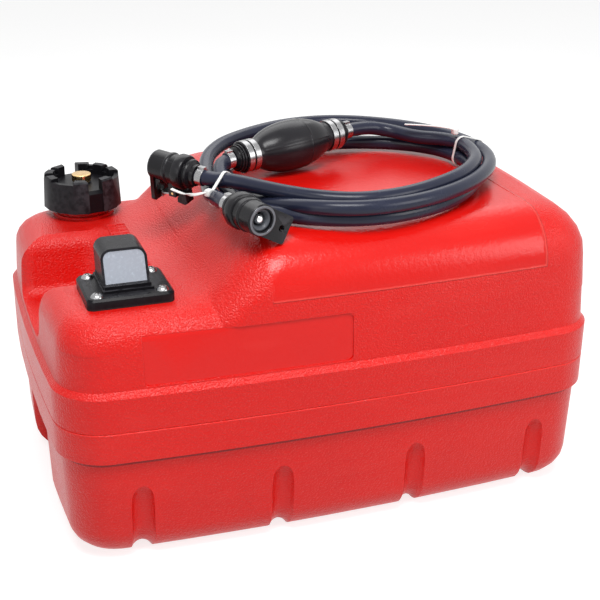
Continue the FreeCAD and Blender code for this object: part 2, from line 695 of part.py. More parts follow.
def hood_prism(side, sink, back, top, bottom):
    """The hood's wedge: leaning back and front and a flat top, with rounded long top edges."""
    slope = (HOOD_HEAD_Y - HOOD_FRONT_Y) / (HOOD_TOP_Z - HOOD_Z)
    lean = HOOD_BACK_LEAN / (HOOD_TOP_Z - HOOD_Z)
    foot = HOOD_FRONT_Y + sink + slope * (bottom - HOOD_Z)
    head = HOOD_FRONT_Y + sink + slope * (top - HOOD_Z)
    corners = [(foot, bottom), (back + lean * (bottom - HOOD_Z), bottom), (back + lean * (top - HOOD_Z), top),
               (head, top)]
    wire = Part.makePolygon([v(-side, y, z) for y, z in corners + corners[:1]])
    wedge = Part.Face(wire).extrude(v(2 * side, 0, 0))
    long_edges = [e for e in edges_at(wedge, top) if e.BoundBox.YLength > 5]
    return wedge.makeFillet(HOOD_EDGE_R - (HOOD_HALF_W - side), long_edges)


def gauge_hood():
    outer = hood_prism(HOOD_HALF_W, 0, HOOD_BACK_Y, HOOD_TOP_Z, HOOD_Z)
    inner = hood_prism(HOOD_HALF_W - HOOD_WALL, -5, HOOD_BACK_Y - HOOD_WALL, HOOD_TOP_Z - HOOD_WALL, HOOD_Z)
    port = cylinder(OUTLET_R + 0.1, 20, v(0, HOOD_BACK_Y - 10, OUTLET_Z), v(0, 1, 0))
    return outer.cut([inner, port])


def gauge_lens():
    """The clear window: the part of the hood's opening between two sloping planes."""
    side = HOOD_HALF_W - HOOD_WALL - LENS_GAP
    top = HOOD_TOP_Z - HOOD_WALL - LENS_GAP
    front = hood_prism(side, LENS_SINK, HOOD_BACK_Y - 5, top, HOOD_Z + 0.1)
    return front.cut(hood_prism(side + 0.001, LENS_SINK + LENS_T, HOOD_BACK_Y, top + 0.001, HOOD_Z))


def pan_screw(x, y):
    """A pan-head screw with a domed head, a cross recess and a plain shank."""
    dome_r = (SCREW_HEAD_R ** 2 + SCREW_HEAD_H ** 2) / (2 * SCREW_HEAD_H)
    head = Part.makeSphere(dome_r, v(0, 0, SCREW_HEAD_H - dome_r))
    head = head.common(cylinder(SCREW_HEAD_R, SCREW_HEAD_H, v(0, 0, 0)))
    for turn in (30, 120):
        slot = box(-2.4, 2.4, -0.5, 0.5, SCREW_HEAD_H - 1.4, SCREW_HEAD_H + 1)
        slot.rotate(v(0, 0, 0), v(0, 0, 1), turn)
        head = head.cut(slot)
    screw = head.fuse(cylinder(SCREW_SHANK_R, SCREW_L, v(0, 0, -SCREW_L)))
    screw.translate(v(x, y, FLANGE_TOP_Z))
    return screw


def insert(x, y):
    return tube(INSERT_R, SCREW_SHANK_R, INSERT_L, v(x, y, DECK_Z - INSERT_L))


def float_frame():
    """Two rods hung from the flange, and the plate across their feet that holds the spindle's lower bush."""
    plate = rounded_box(-ROD_X - 4, ROD_X + 4, ROD_Y - 4, SPINDLE_Y + 5, FOOT_PLATE_Z,
                        FOOT_PLATE_Z + FOOT_PLATE_T, 3.5)
    plate = plate.cut(cylinder(BUSH_R, 10, v(0, SPINDLE_Y, FOOT_PLATE_Z - 1)))
    rod_top = SPIGOT_Z + SPIGOT_H - 1
    rods = [cylinder(ROD_R, rod_top - FOOT_PLATE_Z, v(x, ROD_Y, FOOT_PLATE_Z)) for x in (-ROD_X, ROD_X)]
    return plate.multiFuse(rods)


def spindle_bushes():
    """A flanged bush under the flange and a plain one in the foot plate."""
    bore = SPINDLE_R + BUSH_FIT
    upper = tube(BUSH_R, bore, HOOD_Z - SPIGOT_Z + BUSH_UNDER, v(0, SPINDLE_Y, SPIGOT_Z - BUSH_UNDER))
    lower = tube(BUSH_R, bore, FOOT_PLATE_T, v(0, SPINDLE_Y, FOOT_PLATE_Z))
    return group([upper, lower])


def strip_section(z):
    """The twisted strip's rectangle at one height, turned so that it fits the float's slot at rest."""
    corners = [(-STRIP_W / 2, -STRIP_T / 2), (STRIP_W / 2, -STRIP_T / 2),
               (STRIP_W / 2, STRIP_T / 2), (-STRIP_W / 2, STRIP_T / 2)]
    wire = Part.makePolygon([v(x, y, z) for x, y in corners + corners[:1]])
    wire.rotate(v(0, 0, 0), v(0, 0, 1), STRIP_TWIST * (z - SLOT_Z))
    return wire


def indicator_spindle():
    """A strip twisted between a lower pivot and the shaft that turns the drum."""
    strip_z0 = FOOT_PLATE_Z + FOOT_PLATE_T + 0.15
    strip_z1 = SPIGOT_Z - BUSH_UNDER - 0.5
    step = (strip_z1 - strip_z0) / STRIP_STEPS
    strip = loft([strip_section(strip_z0 + step * i) for i in range(STRIP_STEPS + 1)], ruled=True)
    pivot = cylinder(SPINDLE_R, strip_z0 - FOOT_PLATE_Z, v(0, 0, FOOT_PLATE_Z))
    shaft = cylinder(SPINDLE_R, DRUM_Z - strip_z1 + 1, v(0, 0, strip_z1 - 1))
    spindle = strip.multiFuse([pivot, shaft])
    spindle.translate(v(0, SPINDLE_Y, 0))
    return spindle


def indicator_drum():
    drum = cylinder(DRUM_R, DRUM_H, v(0, SPINDLE_Y, DRUM_Z))
    drum = drum.makeChamfer(0.6, edges_at(drum, DRUM_Z + DRUM_H))
    return drum.cut(cylinder(SPINDLE_R, 1.0, v(0, SPINDLE_Y, DRUM_Z)))


def gauge_float():
    """A foam float that runs on the two rods, with a slotted plate at its foot that turns the strip."""
    body = cylinder(FLOAT_R, FLOAT_H, v(0, FLOAT_Y, FLOAT_Z))
    body = body.makeFillet(2.0, edges_at(body, FLOAT_Z + FLOAT_H))
    bore = cylinder(FLOAT_BORE_R, FLOAT_H, v(0, SPINDLE_Y, FLOAT_Z + SLOT_PLATE_T))
    half_w = STRIP_W / 2 + SLOT_GAP
    half_t = STRIP_T / 2 + SLOT_GAP
    slot = box(-half_w, half_w, SPINDLE_Y - half_t, SPINDLE_Y + half_t, FLOAT_Z - 1, FLOAT_Z + SLOT_PLATE_T + 1)
    holes = [cylinder(ROD_R + ROD_FIT, FLOAT_H + 2, v(x, ROD_Y, FLOAT_Z - 1)) for x in (-ROD_X, ROD_X)]
    return body.cut([bore, slot] + holes)


def pickup_tube():
    return tube(PICKUP_R, PICKUP_BORE_R, HOOD_Z - PICKUP_END_Z, v(0, PICKUP_Y, PICKUP_END_Z))


def pickup_strainer():
    """A closed mesh cup round the tube's lower end."""
    cup = cylinder(STRAINER_R, STRAINER_H, v(0, PICKUP_Y, PICKUP_END_Z - 4))
    cup = cup.makeFillet(1.0, cup.Edges[:1])
    return cup.cut(cylinder(PICKUP_R + 0.05, STRAINER_H, v(0, PICKUP_Y, PICKUP_END_Z)))


def fuel_outlet():
    """An elbow inside the hood with a nipple that leaves through its back, drilled through."""
    post = cylinder(OUTLET_R, OUTLET_Z + OUTLET_R - HOOD_Z, v(0, PICKUP_Y, HOOD_Z))
    neck = cylinder(OUTLET_R, HOOD_BACK_Y + 3 - PICKUP_Y, v(0, PICKUP_Y, OUTLET_Z), v(0, 1, 0))
    nipple = cylinder(NIPPLE_R, NIPPLE_L + 3, v(0, HOOD_BACK_Y, OUTLET_Z), v(0, 1, 0))
    body = post.multiFuse([neck, nipple])
    up = cylinder(PICKUP_BORE_R, OUTLET_Z - HOOD_Z, v(0, PICKUP_Y, HOOD_Z))
    along = cylinder(PICKUP_BORE_R, HOOD_BACK_Y + NIPPLE_L + 4 - PICKUP_Y + PICKUP_BORE_R,
                     v(0, PICKUP_Y - PICKUP_BORE_R, OUTLET_Z), v(0, 1, 0))
    return body.cut([up, along])


def gauge_pieces():
    pieces = {"gauge_gasket": gauge_gasket(), "gauge_flange": gauge_flange(), "gauge_hood": gauge_hood(),
              "gauge_lens": gauge_lens(), "float_frame": float_frame(), "spindle_bushes": spindle_bushes(),
              "indicator_spindle": indicator_spindle(), "indicator_drum": indicator_drum(),
              "gauge_float": gauge_float(), "pickup_tube": pickup_tube(), "pickup_strainer": pickup_strainer(),
              "fuel_outlet": fuel_outlet()}
    for shape in pieces.values():
        shape.translate(v(GAUGE_X, GAUGE_Y, 0))
    pieces["gauge_screws"] = group([pan_screw(x, y) for x, y in screw_places()])
    pieces["gauge_inserts"] = group([insert(x, y) for x, y in screw_places()])
    return pieces


# ---------------------------------------------------------------- primer bulb, its valves and clamps
BULB_END = BULB_HALF_L + BULB_NECK_L
HOSE_START = BULB_END + VALVE_L


def bulb_point(s):
    """A point on the bulb's axis, s along it from the middle."""
    return Vector(*BULB_CENTRE) + Vector(*BULB_AXIS).normalize() * s


def on_bulb(shape):
    return placed(shape, BULB_CENTRE, BULB_AXIS, (0, 0, 1))


def primer_bulb():
    """A rubber egg with a cylindrical neck at each end."""
    stretch = BULB_HALF_L / math.sqrt(1 - (BULB_NECK_R / BULB_R) ** 2)
    points = []
    for i in range(9):
        s = BULB_HALF_L * (i / 4 - 1)
        points.append(v(BULB_R * math.sqrt(1 - (s / stretch) ** 2), 0, s))
    curve = Part.BSplineCurve()
    curve.interpolate(points)
    low = v(BULB_NECK_R, 0, -BULB_END)
    high = v(BULB_NECK_R, 0, BULB_END)
    edges = [Part.LineSegment(v(0, 0, BULB_END), v(0, 0, -BULB_END)).toShape(),
             Part.LineSegment(v(0, 0, -BULB_END), low).toShape(), Part.LineSegment(low, points[0]).toShape(),
             curve.toShape(), Part.LineSegment(points[-1], high).toShape(),
             Part.LineSegment(high, v(0, 0, BULB_END)).toShape()]
    return Part.Face(Part.Wire(edges)).revolve(v(0, 0, 0), v(0, 0, 1), 360)


def valve_body():
    """A ribbed collar with a check-valve chamber, for the bulb's +Z end."""
    z0 = BULB_END
    z1 = HOSE_START
    profile = [(0, z0), (VALVE_R, z0), (VALVE_R, z0 + 1.2), (VALVE_RIB_R, z0 + 1.2), (VALVE_RIB_R, z0 + 2.4),
               (VALVE_R - 0.8, z0 + 2.4), (VALVE_R - 0.8, z0 + 3.6), (VALVE_R, z0 + 3.6), (VALVE_R, z0 + 4.8),
               (VALVE_R - 1.6, z0 + 4.8), (VALVE_R - 1.6, z0 + 6.0), (HOSE_R + 1.5, z1), (0, z1)]
    body = turned(profile)
    chamber = cylinder(VALVE_CHAMBER_R, VALVE_CHAMBER_L, v(0, 0, z0 + VALVE_SKIN))
    return body.cut([chamber, cylinder(VALVE_PORT_R, VALVE_L + 2, v(0, 0, z0 - 1))])


def check_disc(z):
    return cylinder(DISC_R, DISC_T, v(0, 0, z))


def mirrored(shape):
    return shape.mirror(v(0, 0, 0), v(0, 0, 1))


def bulb_pieces():
    chamber_z = BULB_END + VALVE_SKIN
    outer_seat = chamber_z + VALVE_CHAMBER_L - DISC_T
    bands = []
    for shift in BAND_SHIFTS:
        base = v(0, 0, BULB_HALF_L + shift - BAND_W / 2)
        band = tube(BULB_NECK_R + BAND_GAP + BAND_T, BULB_NECK_R + BAND_GAP, BAND_W, base)
        bands += [band, mirrored(band)]
    return {"primer_bulb": on_bulb(primer_bulb()),
            "bulb_inlet_valve": on_bulb(valve_body()), "bulb_outlet_valve": on_bulb(mirrored(valve_body())),
            "inlet_check_disc": on_bulb(check_disc(outer_seat)),
            "outlet_check_disc": on_bulb(check_disc(-chamber_z - DISC_T)),
            "bulb_bands": group([on_bulb(band) for band in bands])}


def hose_clamp():
    """A crimped clamp about local Z, from local zero downwards, with its pinched ear."""
    ring = tube(HOSE_R + BAND_GAP + CLAMP_T, HOSE_R + BAND_GAP, CLAMP_W, v(0, 0, -CLAMP_W))
    ear = box(HOSE_R + BAND_GAP + 0.4, HOSE_R + 2.6, -2.2, 2.2, -CLAMP_W, 0)
    return ring.fuse(ear)


def hose_clamps():
    back = Vector(*BULB_AXIS) * -1
    places = [(bulb_point(HOSE_START + CLAMP_SET_BACK), back), (bulb_point(-HOSE_START - CLAMP_SET_BACK), back * -1)]
    for mouth, axis in ((TANK_MOUTH, TANK_CONN_AXIS), (ENGINE_MOUTH, ENGINE_CONN_AXIS)):
        way = Vector(*axis).normalize()
        places.append((Vector(*mouth) - way * (CONN_L + CLAMP_SET_BACK), way))
    return group([placed(hose_clamp(), at, way, (0, 0, 1)) for at, way in places])


# ---------------------------------------------------------------- quick connectors
def connector_body():
    """Socket, collar and neck, with the pin plate beside the mouth and two ears for the latch."""
    barrel = turned([(0, -CONN_L), (CONN_NECK_R, -CONN_L), (CONN_NECK_R, -CONN_L + 4),
                     (CONN_REAR_R, -CONN_L + 6), (CONN_REAR_R, -CONN_SOCKET_L - 9),
                     (CONN_RIB_R, -CONN_SOCKET_L - 8), (CONN_RIB_R, -CONN_SOCKET_L - 1),
                     (CONN_R, -CONN_SOCKET_L), (CONN_R, -1), (CONN_R - 1, 0), (0, 0)])
    x0, z0 = LATCH_PIVOT
    plate = box(0, PLATE_REACH, -PLATE_HALF_W, PLATE_HALF_W, PLATE_Z, PLATE_Z + PLATE_T)
    corners = [e for e in plate.Edges if e.BoundBox.ZLength > 1 and e.BoundBox.XMin > PLATE_REACH - 0.1]
    plate = plate.makeFillet(2.5, corners)
    parts = [plate]
    for side in (-1, 1):
        y0 = side * (LATCH_HALF_W + EAR_GAP)
        y1 = side * (LATCH_HALF_W + EAR_GAP + EAR_T)
        parts.append(box(CONN_R / 2, x0 + 2.8, min(y0, y1), max(y0, y1), z0 - 3.5, z0 + 3.5))
        parts.append(plate_xz([(0, PLATE_Z - 9), (CONN_R + 6, PLATE_Z), (0, PLATE_Z)], side * 9 - 1, side * 9 + 1))
    body = barrel.multiFuse(parts)
    web_z = -CONN_BORE_L - CONN_WEB_T
    groove = tube(CONN_RING_R, CONN_RING_BORE_R, CONN_RING_SINK + 1, v(0, 0, -CONN_RING_SINK))
    cuts = [cylinder(CONN_BORE_R, CONN_BORE_L + 1, v(0, 0, -CONN_BORE_L)), groove,
            cylinder(VALVE_STEM_R + LATCH_FIT, CONN_WEB_T + 2, v(0, 0, web_z - 1)),
            cylinder(CONN_CHAMBER_R, CONN_L + web_z + 1, v(0, 0, -CONN_L - 1)),
            cylinder(PLATE_HOLE_R, 10, v(PLATE_HOLE_X, 0, PLATE_Z - 2)),
            cylinder(LATCH_PIN_R, 30, v(x0, -15, z0), v(0, 1, 0))]
    return body.cut(cuts)


def latch_lever():
    """A moulded thumb piece behind the pivot, with two webs that carry the pivot and the hook."""
    x0, z0 = LATCH_PIVOT
    w = LATCH_HALF_W
    web = plate_xz([(x0 - 2.6, z0 - 5), (x0 + 3, z0 - 5), (x0 + 3, z0 + 2.6), (x0 - 2.6, z0 + 2.6)], -w, w)
    thumb = plate_xz([(x0 - 3.5, z0 - 4.6), (x0 - 3.0, z0 - 11), (x0 + 8, z0 - 12.5), (x0 + 9.5, z0 - 10),
                      (x0 + 8.5, z0 - 3), (x0 + 4.2, z0 - 3), (x0 + 4.0, z0 - 4.6)], -w, w)
    return web.fuse(thumb).cut(cylinder(LATCH_PIN_R + LATCH_FIT, 20, v(x0, -10, z0), v(0, 1, 0)))


def connector_pieces():
    """One quick connector's pieces in its local frame."""
    x0, z0 = LATCH_PIVOT
    w = LATCH_HALF_W
    ring = tube(CONN_RING_R, CONN_RING_BORE_R, CONN_RING_SINK + CONN_RING_PROUD, v(0, 0, -CONN_RING_SINK))
    ball = Part.makeSphere(VALVE_BALL_R, v(0, 0, VALVE_BALL_Z))
    stem_end = -CONN_BORE_L - CONN_WEB_T - 3
    stem = cylinder(VALVE_STEM_R, VALVE_BALL_Z - stem_end, v(0, 0, stem_end))
    oring = Part.makeTorus(ORING_R, ORING_WIRE_R, v(0, 0, ORING_Z))
    hook = plate_xz([(x0 + 1.4, z0 + 2.6), (x0 + 3, z0 + 2.6), (x0 + 4.4, z0 + 12), (x0 + 7.5, z0 + 12.4),
                     (x0 + 7.5, z0 + 13.8), (x0 + 3.0, z0 + 13.4)], -w, w)
    pin = cylinder(LATCH_PIN_R, 2 * (w + EAR_GAP + EAR_T), v(x0, -w - EAR_GAP - EAR_T, z0), v(0, 1, 0))
    return {"connector": connector_body(), "connector_ring": ring, "valve": ball.fuse(stem),
            "connector_seal": oring, "latch": latch_lever(), "latch_hook": hook, "latch_pin": pin}


def both_connectors():
    pieces = {}
    local = connector_pieces()
    ends = (("tank", TANK_MOUTH, TANK_CONN_AXIS, TANK_PLATE_WAY),
            ("engine", ENGINE_MOUTH, ENGINE_CONN_AXIS, ENGINE_PLATE_WAY))
    for end, mouth, axis, plate_way in ends:
        for name, shape in local.items():
            pieces[end + "_" + name] = placed(shape, mouth, axis, plate_way)
    return pieces


# ---------------------------------------------------------------- hoses
def hose_start(mouth, axis):
    """Where a hose leaves a connector, and the end of its first straight run."""
    way = Vector(*axis).normalize() * -1
    return [tuple(Vector(*mouth) + way * CONN_L), tuple(Vector(*mouth) + way * (CONN_L + HOSE_LEAD))]


TANK_HOSE_ROUTE = [(-70.5, -54.0, 275.5), (-63.0, -70.0, 273.5), (-52.0, -83.0, 271.0)]
ENGINE_HOSE_ROUTE = [(-87.5, -62.0, 266.0), (-88.5, -40.0, 261.6), (-84.6, -20.5, 260.6), (-78.5, 0.0, 263.5),
                     (-69.0, 16.0, 267.0)]


def route_tube(points, radius):
    """A round bar along straight runs joined by tangent arcs as large as the runs allow."""
    points = [Vector(*p) for p in points]
    edges = []
    start = points[0]
    for before, at, after in zip(points, points[1:], points[2:]):
        into = (at - before).normalize()
        out = (after - at).normalize()
        half_turn = into.getAngle(out) / 2
        reach = 0.45 * min((at - before).Length, (after - at).Length)
        bend_r = reach / math.tan(half_turn)
        print("   bend radius", round(bend_r, 1))
        first = at - into * reach
        last = at + out * reach
        inwards = (out - into).normalize()
        centre = at + inwards * (bend_r / math.cos(half_turn))
        middle = centre - inwards * bend_r
        edges += [Part.LineSegment(start, first).toShape(), Part.Arc(first, middle, last).toShape()]
        start = last
    edges.append(Part.LineSegment(start, points[-1]).toShape())
    path = Part.Wire(edges)
    ring = Part.Wire([Part.Circle(points[0], points[1] - points[0], radius).toShape()])
    bar = path.makePipeShell([ring], True, False)
    print("   length", round(path.Length, 1), "volume ratio",
          round(bar.Volume / (path.Length * math.pi * radius ** 2), 4))
    return bar


def oval(centre_x, centre_y, half_x, half_y, z0, z1):
    """An upright elliptical prism."""
    if half_x >= half_y:
        ellipse = Part.Ellipse(v(centre_x + half_x, centre_y, z0), v(centre_x, centre_y + half_y, z0),
                               v(centre_x, centre_y, z0))
    else:
        ellipse = Part.Ellipse(v(centre_x, centre_y + half_y, z0), v(centre_x - half_x, centre_y, z0),
                               v(centre_x, centre_y, z0))
    return Part.Face(Part.Wire([ellipse.toShape()])).extrude(v(0, 0, z1 - z0))


def hose_coil():
    """The outer shape of the coil: an oval ring with rounded edges."""
    z0 = TOP_Z + COIL_LIFT
    ring = oval(*COIL_OUTER, z0, COIL_TOP_Z).cut(oval(*COIL_INNER, z0 - 1, COIL_TOP_Z + 1))
    return ring.makeFillet(COIL_EDGE_R, edges_at(ring, z0) + edges_at(ring, COIL_TOP_Z))


def hose_pieces():
    tank_end = hose_start(TANK_MOUTH, TANK_CONN_AXIS)
    engine_end = hose_start(ENGINE_MOUTH, ENGINE_CONN_AXIS)
    inlet = [tuple(bulb_point(HOSE_START)), tuple(bulb_point(HOSE_START + 20)), (118.0, 66.0, 274.5),
             (136.0, 54.0, 270.0)]
    outlet = [tuple(bulb_point(-HOSE_START)), tuple(bulb_point(-HOSE_START - 12)), (-66.5, -5.0, 269.0)]
    return {"hose_coil": hose_coil(),
            "tank_end_hose": route_tube(tank_end + TANK_HOSE_ROUTE, HOSE_R),
            "engine_end_hose": route_tube(engine_end + ENGINE_HOSE_ROUTE, HOSE_R),
            "bulb_inlet_hose": route_tube(inlet, HOSE_R), "bulb_outlet_hose": route_tube(outlet, HOSE_R)}


# ---------------------------------------------------------------- cable ties
def strap(x0, x1, y0, y1):
    """A closed strap round a bundle that runs along local Z. Local X points away from the coil, local Y up."""
    half = TIE_W / 2
    loop = rounded_box(x0 - TIE_T, x1 + TIE_T, y0 - TIE_T, y1 + TIE_T, -half, half, 6.0)
    return loop.cut(rounded_box(x0, x1, y0, y1, -half - 1, half + 1, 5.0))


def left_tie():
    """Round the coil and both tails. Its head sits on the outer side, and the tail runs back along the tails."""
    z_mid = (TOP_Z + COIL_LIFT + COIL_TOP_Z) / 2
    x1 = LEFT_TIE_SPAN[1]
    loop = strap(LEFT_TIE_SPAN[0], x1, TOP_Z + 0.1 + TIE_T - z_mid, LEFT_TIE_TOP_Z - z_mid)
    lx, ly, lz = TIE_HEAD
    head = box(x1 + TIE_T / 2, x1 + TIE_T / 2 + ly, LEFT_HEAD_LIFT, LEFT_HEAD_LIFT + lx, -lz / 2, lz / 2)
    tail = box(x1 + TIE_T * 2, x1 + TIE_T * 3, LEFT_HEAD_LIFT + 1, LEFT_HEAD_LIFT + 1 + TIE_W, 0, LEFT_TAIL_L)
    return placed(loop.multiFuse([head, tail]), LEFT_TIE_AT + (z_mid,), (-0.69, 0.724, 0), (-0.724, -0.69, 0))


def right_tie():
    """Round the coil, with its head on top and the tail over the coil's opening."""
    z_mid = (TOP_Z + COIL_LIFT + COIL_TOP_Z) / 2
    top = COIL_TOP_Z + 0.3 - z_mid
    loop = strap(RIGHT_TIE_SPAN[0], RIGHT_TIE_SPAN[1], TOP_Z + 0.1 + TIE_T - z_mid, top)
    lx, ly, lz = TIE_HEAD
    head = box(-RIGHT_HEAD_SHIFT - lx / 2, -RIGHT_HEAD_SHIFT + lx / 2, top + TIE_T / 2, top + TIE_T / 2 + ly,
               -lz / 2, lz / 2)
    tail = box(-RIGHT_TAIL_L, -RIGHT_HEAD_SHIFT, top + 2 * TIE_T, top + 3 * TIE_T, -TIE_W / 2, TIE_W / 2)
    return placed(loop.multiFuse([head, tail]), RIGHT_TIE_AT + (z_mid,), (0.02, -1.0, 0), (1.0, 0.02, 0))


# ---------------------------------------------------------------- build
def main():
    save("tank_body", tank_body())
    for pieces in (cap_pieces(), gauge_pieces(), bulb_pieces(), both_connectors(), hose_pieces()):
        for name, shape in pieces.items():
            save(name, shape)
    save("hose_clamps", hose_clamps())
    save("left_tie", left_tie())
    save("right_tie", right_tie())


main()
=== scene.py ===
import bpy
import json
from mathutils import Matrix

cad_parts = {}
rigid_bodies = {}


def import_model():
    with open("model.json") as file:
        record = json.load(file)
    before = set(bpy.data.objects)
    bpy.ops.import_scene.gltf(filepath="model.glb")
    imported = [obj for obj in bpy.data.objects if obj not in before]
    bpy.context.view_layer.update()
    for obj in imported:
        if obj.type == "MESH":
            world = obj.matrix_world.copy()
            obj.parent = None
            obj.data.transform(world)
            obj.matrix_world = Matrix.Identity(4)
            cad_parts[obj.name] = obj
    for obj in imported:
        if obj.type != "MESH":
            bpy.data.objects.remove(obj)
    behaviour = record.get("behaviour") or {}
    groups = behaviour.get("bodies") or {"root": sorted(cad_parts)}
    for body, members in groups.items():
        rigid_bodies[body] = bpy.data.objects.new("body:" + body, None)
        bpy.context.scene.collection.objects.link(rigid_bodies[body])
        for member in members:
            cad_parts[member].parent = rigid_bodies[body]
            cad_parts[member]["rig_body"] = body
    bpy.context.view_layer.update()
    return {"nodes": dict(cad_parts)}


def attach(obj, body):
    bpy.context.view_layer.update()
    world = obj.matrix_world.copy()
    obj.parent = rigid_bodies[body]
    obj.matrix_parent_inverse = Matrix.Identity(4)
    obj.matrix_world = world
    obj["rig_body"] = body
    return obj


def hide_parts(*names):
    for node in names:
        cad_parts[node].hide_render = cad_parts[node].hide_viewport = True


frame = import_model()

import json
import math

import bmesh
import bpy
import numpy as np
from mathutils import Matrix, Vector

scene = bpy.context.scene
scene.view_settings.view_transform = "Standard"
MM = 0.001


# ---------------------------------------------------------------- shader maths
class Value:
    """A number that varies over a surface. An expression on values adds its Math nodes."""

    def __init__(self, nodes, socket):
        self.nodes = nodes
        self.socket = socket

    def math(self, operation, *others):
        node = self.nodes.node("ShaderNodeMath", {"operation": operation}, self, *others)
        return Value(self.nodes, node.outputs[0])

    def __add__(self, other):
        return self.math("ADD", other)

    __radd__ = __add__

    def __sub__(self, other):
        return self.math("SUBTRACT", other)

    def __rsub__(self, other):
        return (self * -1) + other

    def __mul__(self, other):
        return self.math("MULTIPLY", other)

    __rmul__ = __mul__

    def clamped(self):
        """The value kept from 0 to 1."""
        return self.math("MAXIMUM", 0.0).math("MINIMUM", 1.0)

    def above(self, edge, width):
        """0 below the edge and 1 above it, with a soft step of that width."""
        return (self * (1 / width) + (0.5 - edge / width)).clamped()

    def between(self, low, high, low_width, high_width=None):
        """1 between two edges and 0 outside them, with a soft step at each; both are alike unless told."""
        return self.above(low, low_width) * (1.0 - self.above(high, high_width or low_width))


class Nodes:
    """A node tree in which every node comes from one method."""

    def __init__(self, tree):
        self.tree = tree

    def node(self, kind, settings, *values, **named):
        """A node of that kind: its settings first, then the values or links of its sockets."""
        node = self.tree.nodes.new(kind)
        for key, setting in settings.items():
            setattr(node, key, setting)
        for key, value in list(enumerate(values)) + list(named.items()):
            key = key if isinstance(key, int) else key.replace("_", " ")
            self.put(node.inputs[key], value)
        return node

    def put(self, socket, value):
        """Links a value to a socket, or sets a plain number, colour or vector on it."""
        value = value.socket if isinstance(value, Value) else value
        if isinstance(value, bpy.types.NodeSocket):
            self.tree.links.new(value, socket)
        else:
            socket.default_value = value


class Finish(Nodes):
    """One material, built node by node on the piece's Object coordinates, in metres."""

    def __init__(self, name):
        self.material = bpy.data.materials.new(name)
        self.material.use_nodes = True
        super().__init__(self.material.node_tree)
        self.shader = self.tree.nodes["Principled BSDF"]
        self.place = self.node("ShaderNodeTexCoord", {}).outputs["Object"]

    def stretched(self, scale):
        """Object coordinates scaled along each axis, so that a pattern on them is drawn out."""
        return self.node("ShaderNodeMapping", {}, self.place, Scale=scale).outputs[0]

    def noise(self, scale, detail=2.0, rough=0.5, place=None):
        node = self.node("ShaderNodeTexNoise", {}, place or self.place, Scale=scale, Detail=detail, Roughness=rough)
        return Value(self, node.outputs[0])

    def cells(self, scale):
        node = self.node("ShaderNodeTexVoronoi", {"feature": "SMOOTH_F1"}, self.place, Scale=scale)
        return Value(self, node.outputs["Distance"])

    def axis(self, index):
        return Value(self, self.node("ShaderNodeSeparateXYZ", {}, self.place).outputs[index])

    def worn_edges(self):
        """How convex the surface is, from 0 in hollows to 1 on sharp edges."""
        node = self.node("ShaderNodeNewGeometry", {})
        return Value(self, node.outputs["Pointiness"])

    def blend(self, factor, first, second):
        """The first colour where the factor is 0 and the second where it is 1."""
        node = self.node("ShaderNodeMix", {"data_type": "RGBA"})
        for key, value in ((0, factor), (6, first), (7, second)):
            self.put(node.inputs[key], value)
        return node.outputs[2]

    def bump(self, height, distance, strength):
        return self.node("ShaderNodeBump", {}, Height=height, Distance=distance, Strength=strength).outputs[0]

    def set(self, **sockets):
        for key, value in sockets.items():
            self.put(self.shader.inputs[key.replace("_", " ")], value)
        return self.material


def rgb(r, g, b):
    return (r, g, b, 1.0)


# Where the tank's skin changes, in metres: pairs are edges between which it does.
PANEL_X, PANEL_LOW_Z = (-0.064, 0.172), 0.2115              # the high part's smooth panel
BORDER_OUTER = (0.1735, 0.2105)                             # right edge and low edge of the panel's border
BORDER_INNER = (0.1715, 0.2122)
LABEL_X, LABEL_Z, LABEL_Y = (-0.1645, 0.0011), (0.1556, 0.195), -0.1425
LIP_SHADOW_Z = (0.0906, 0.0934)                              # the band's underside and the wall below it, where a shadow is painted
SEAM_PAINTED_LIGHT_Z = (0.1194, 0.1218)                                   # where the mould closes; its groove is painted paler, as light that lifts its shade


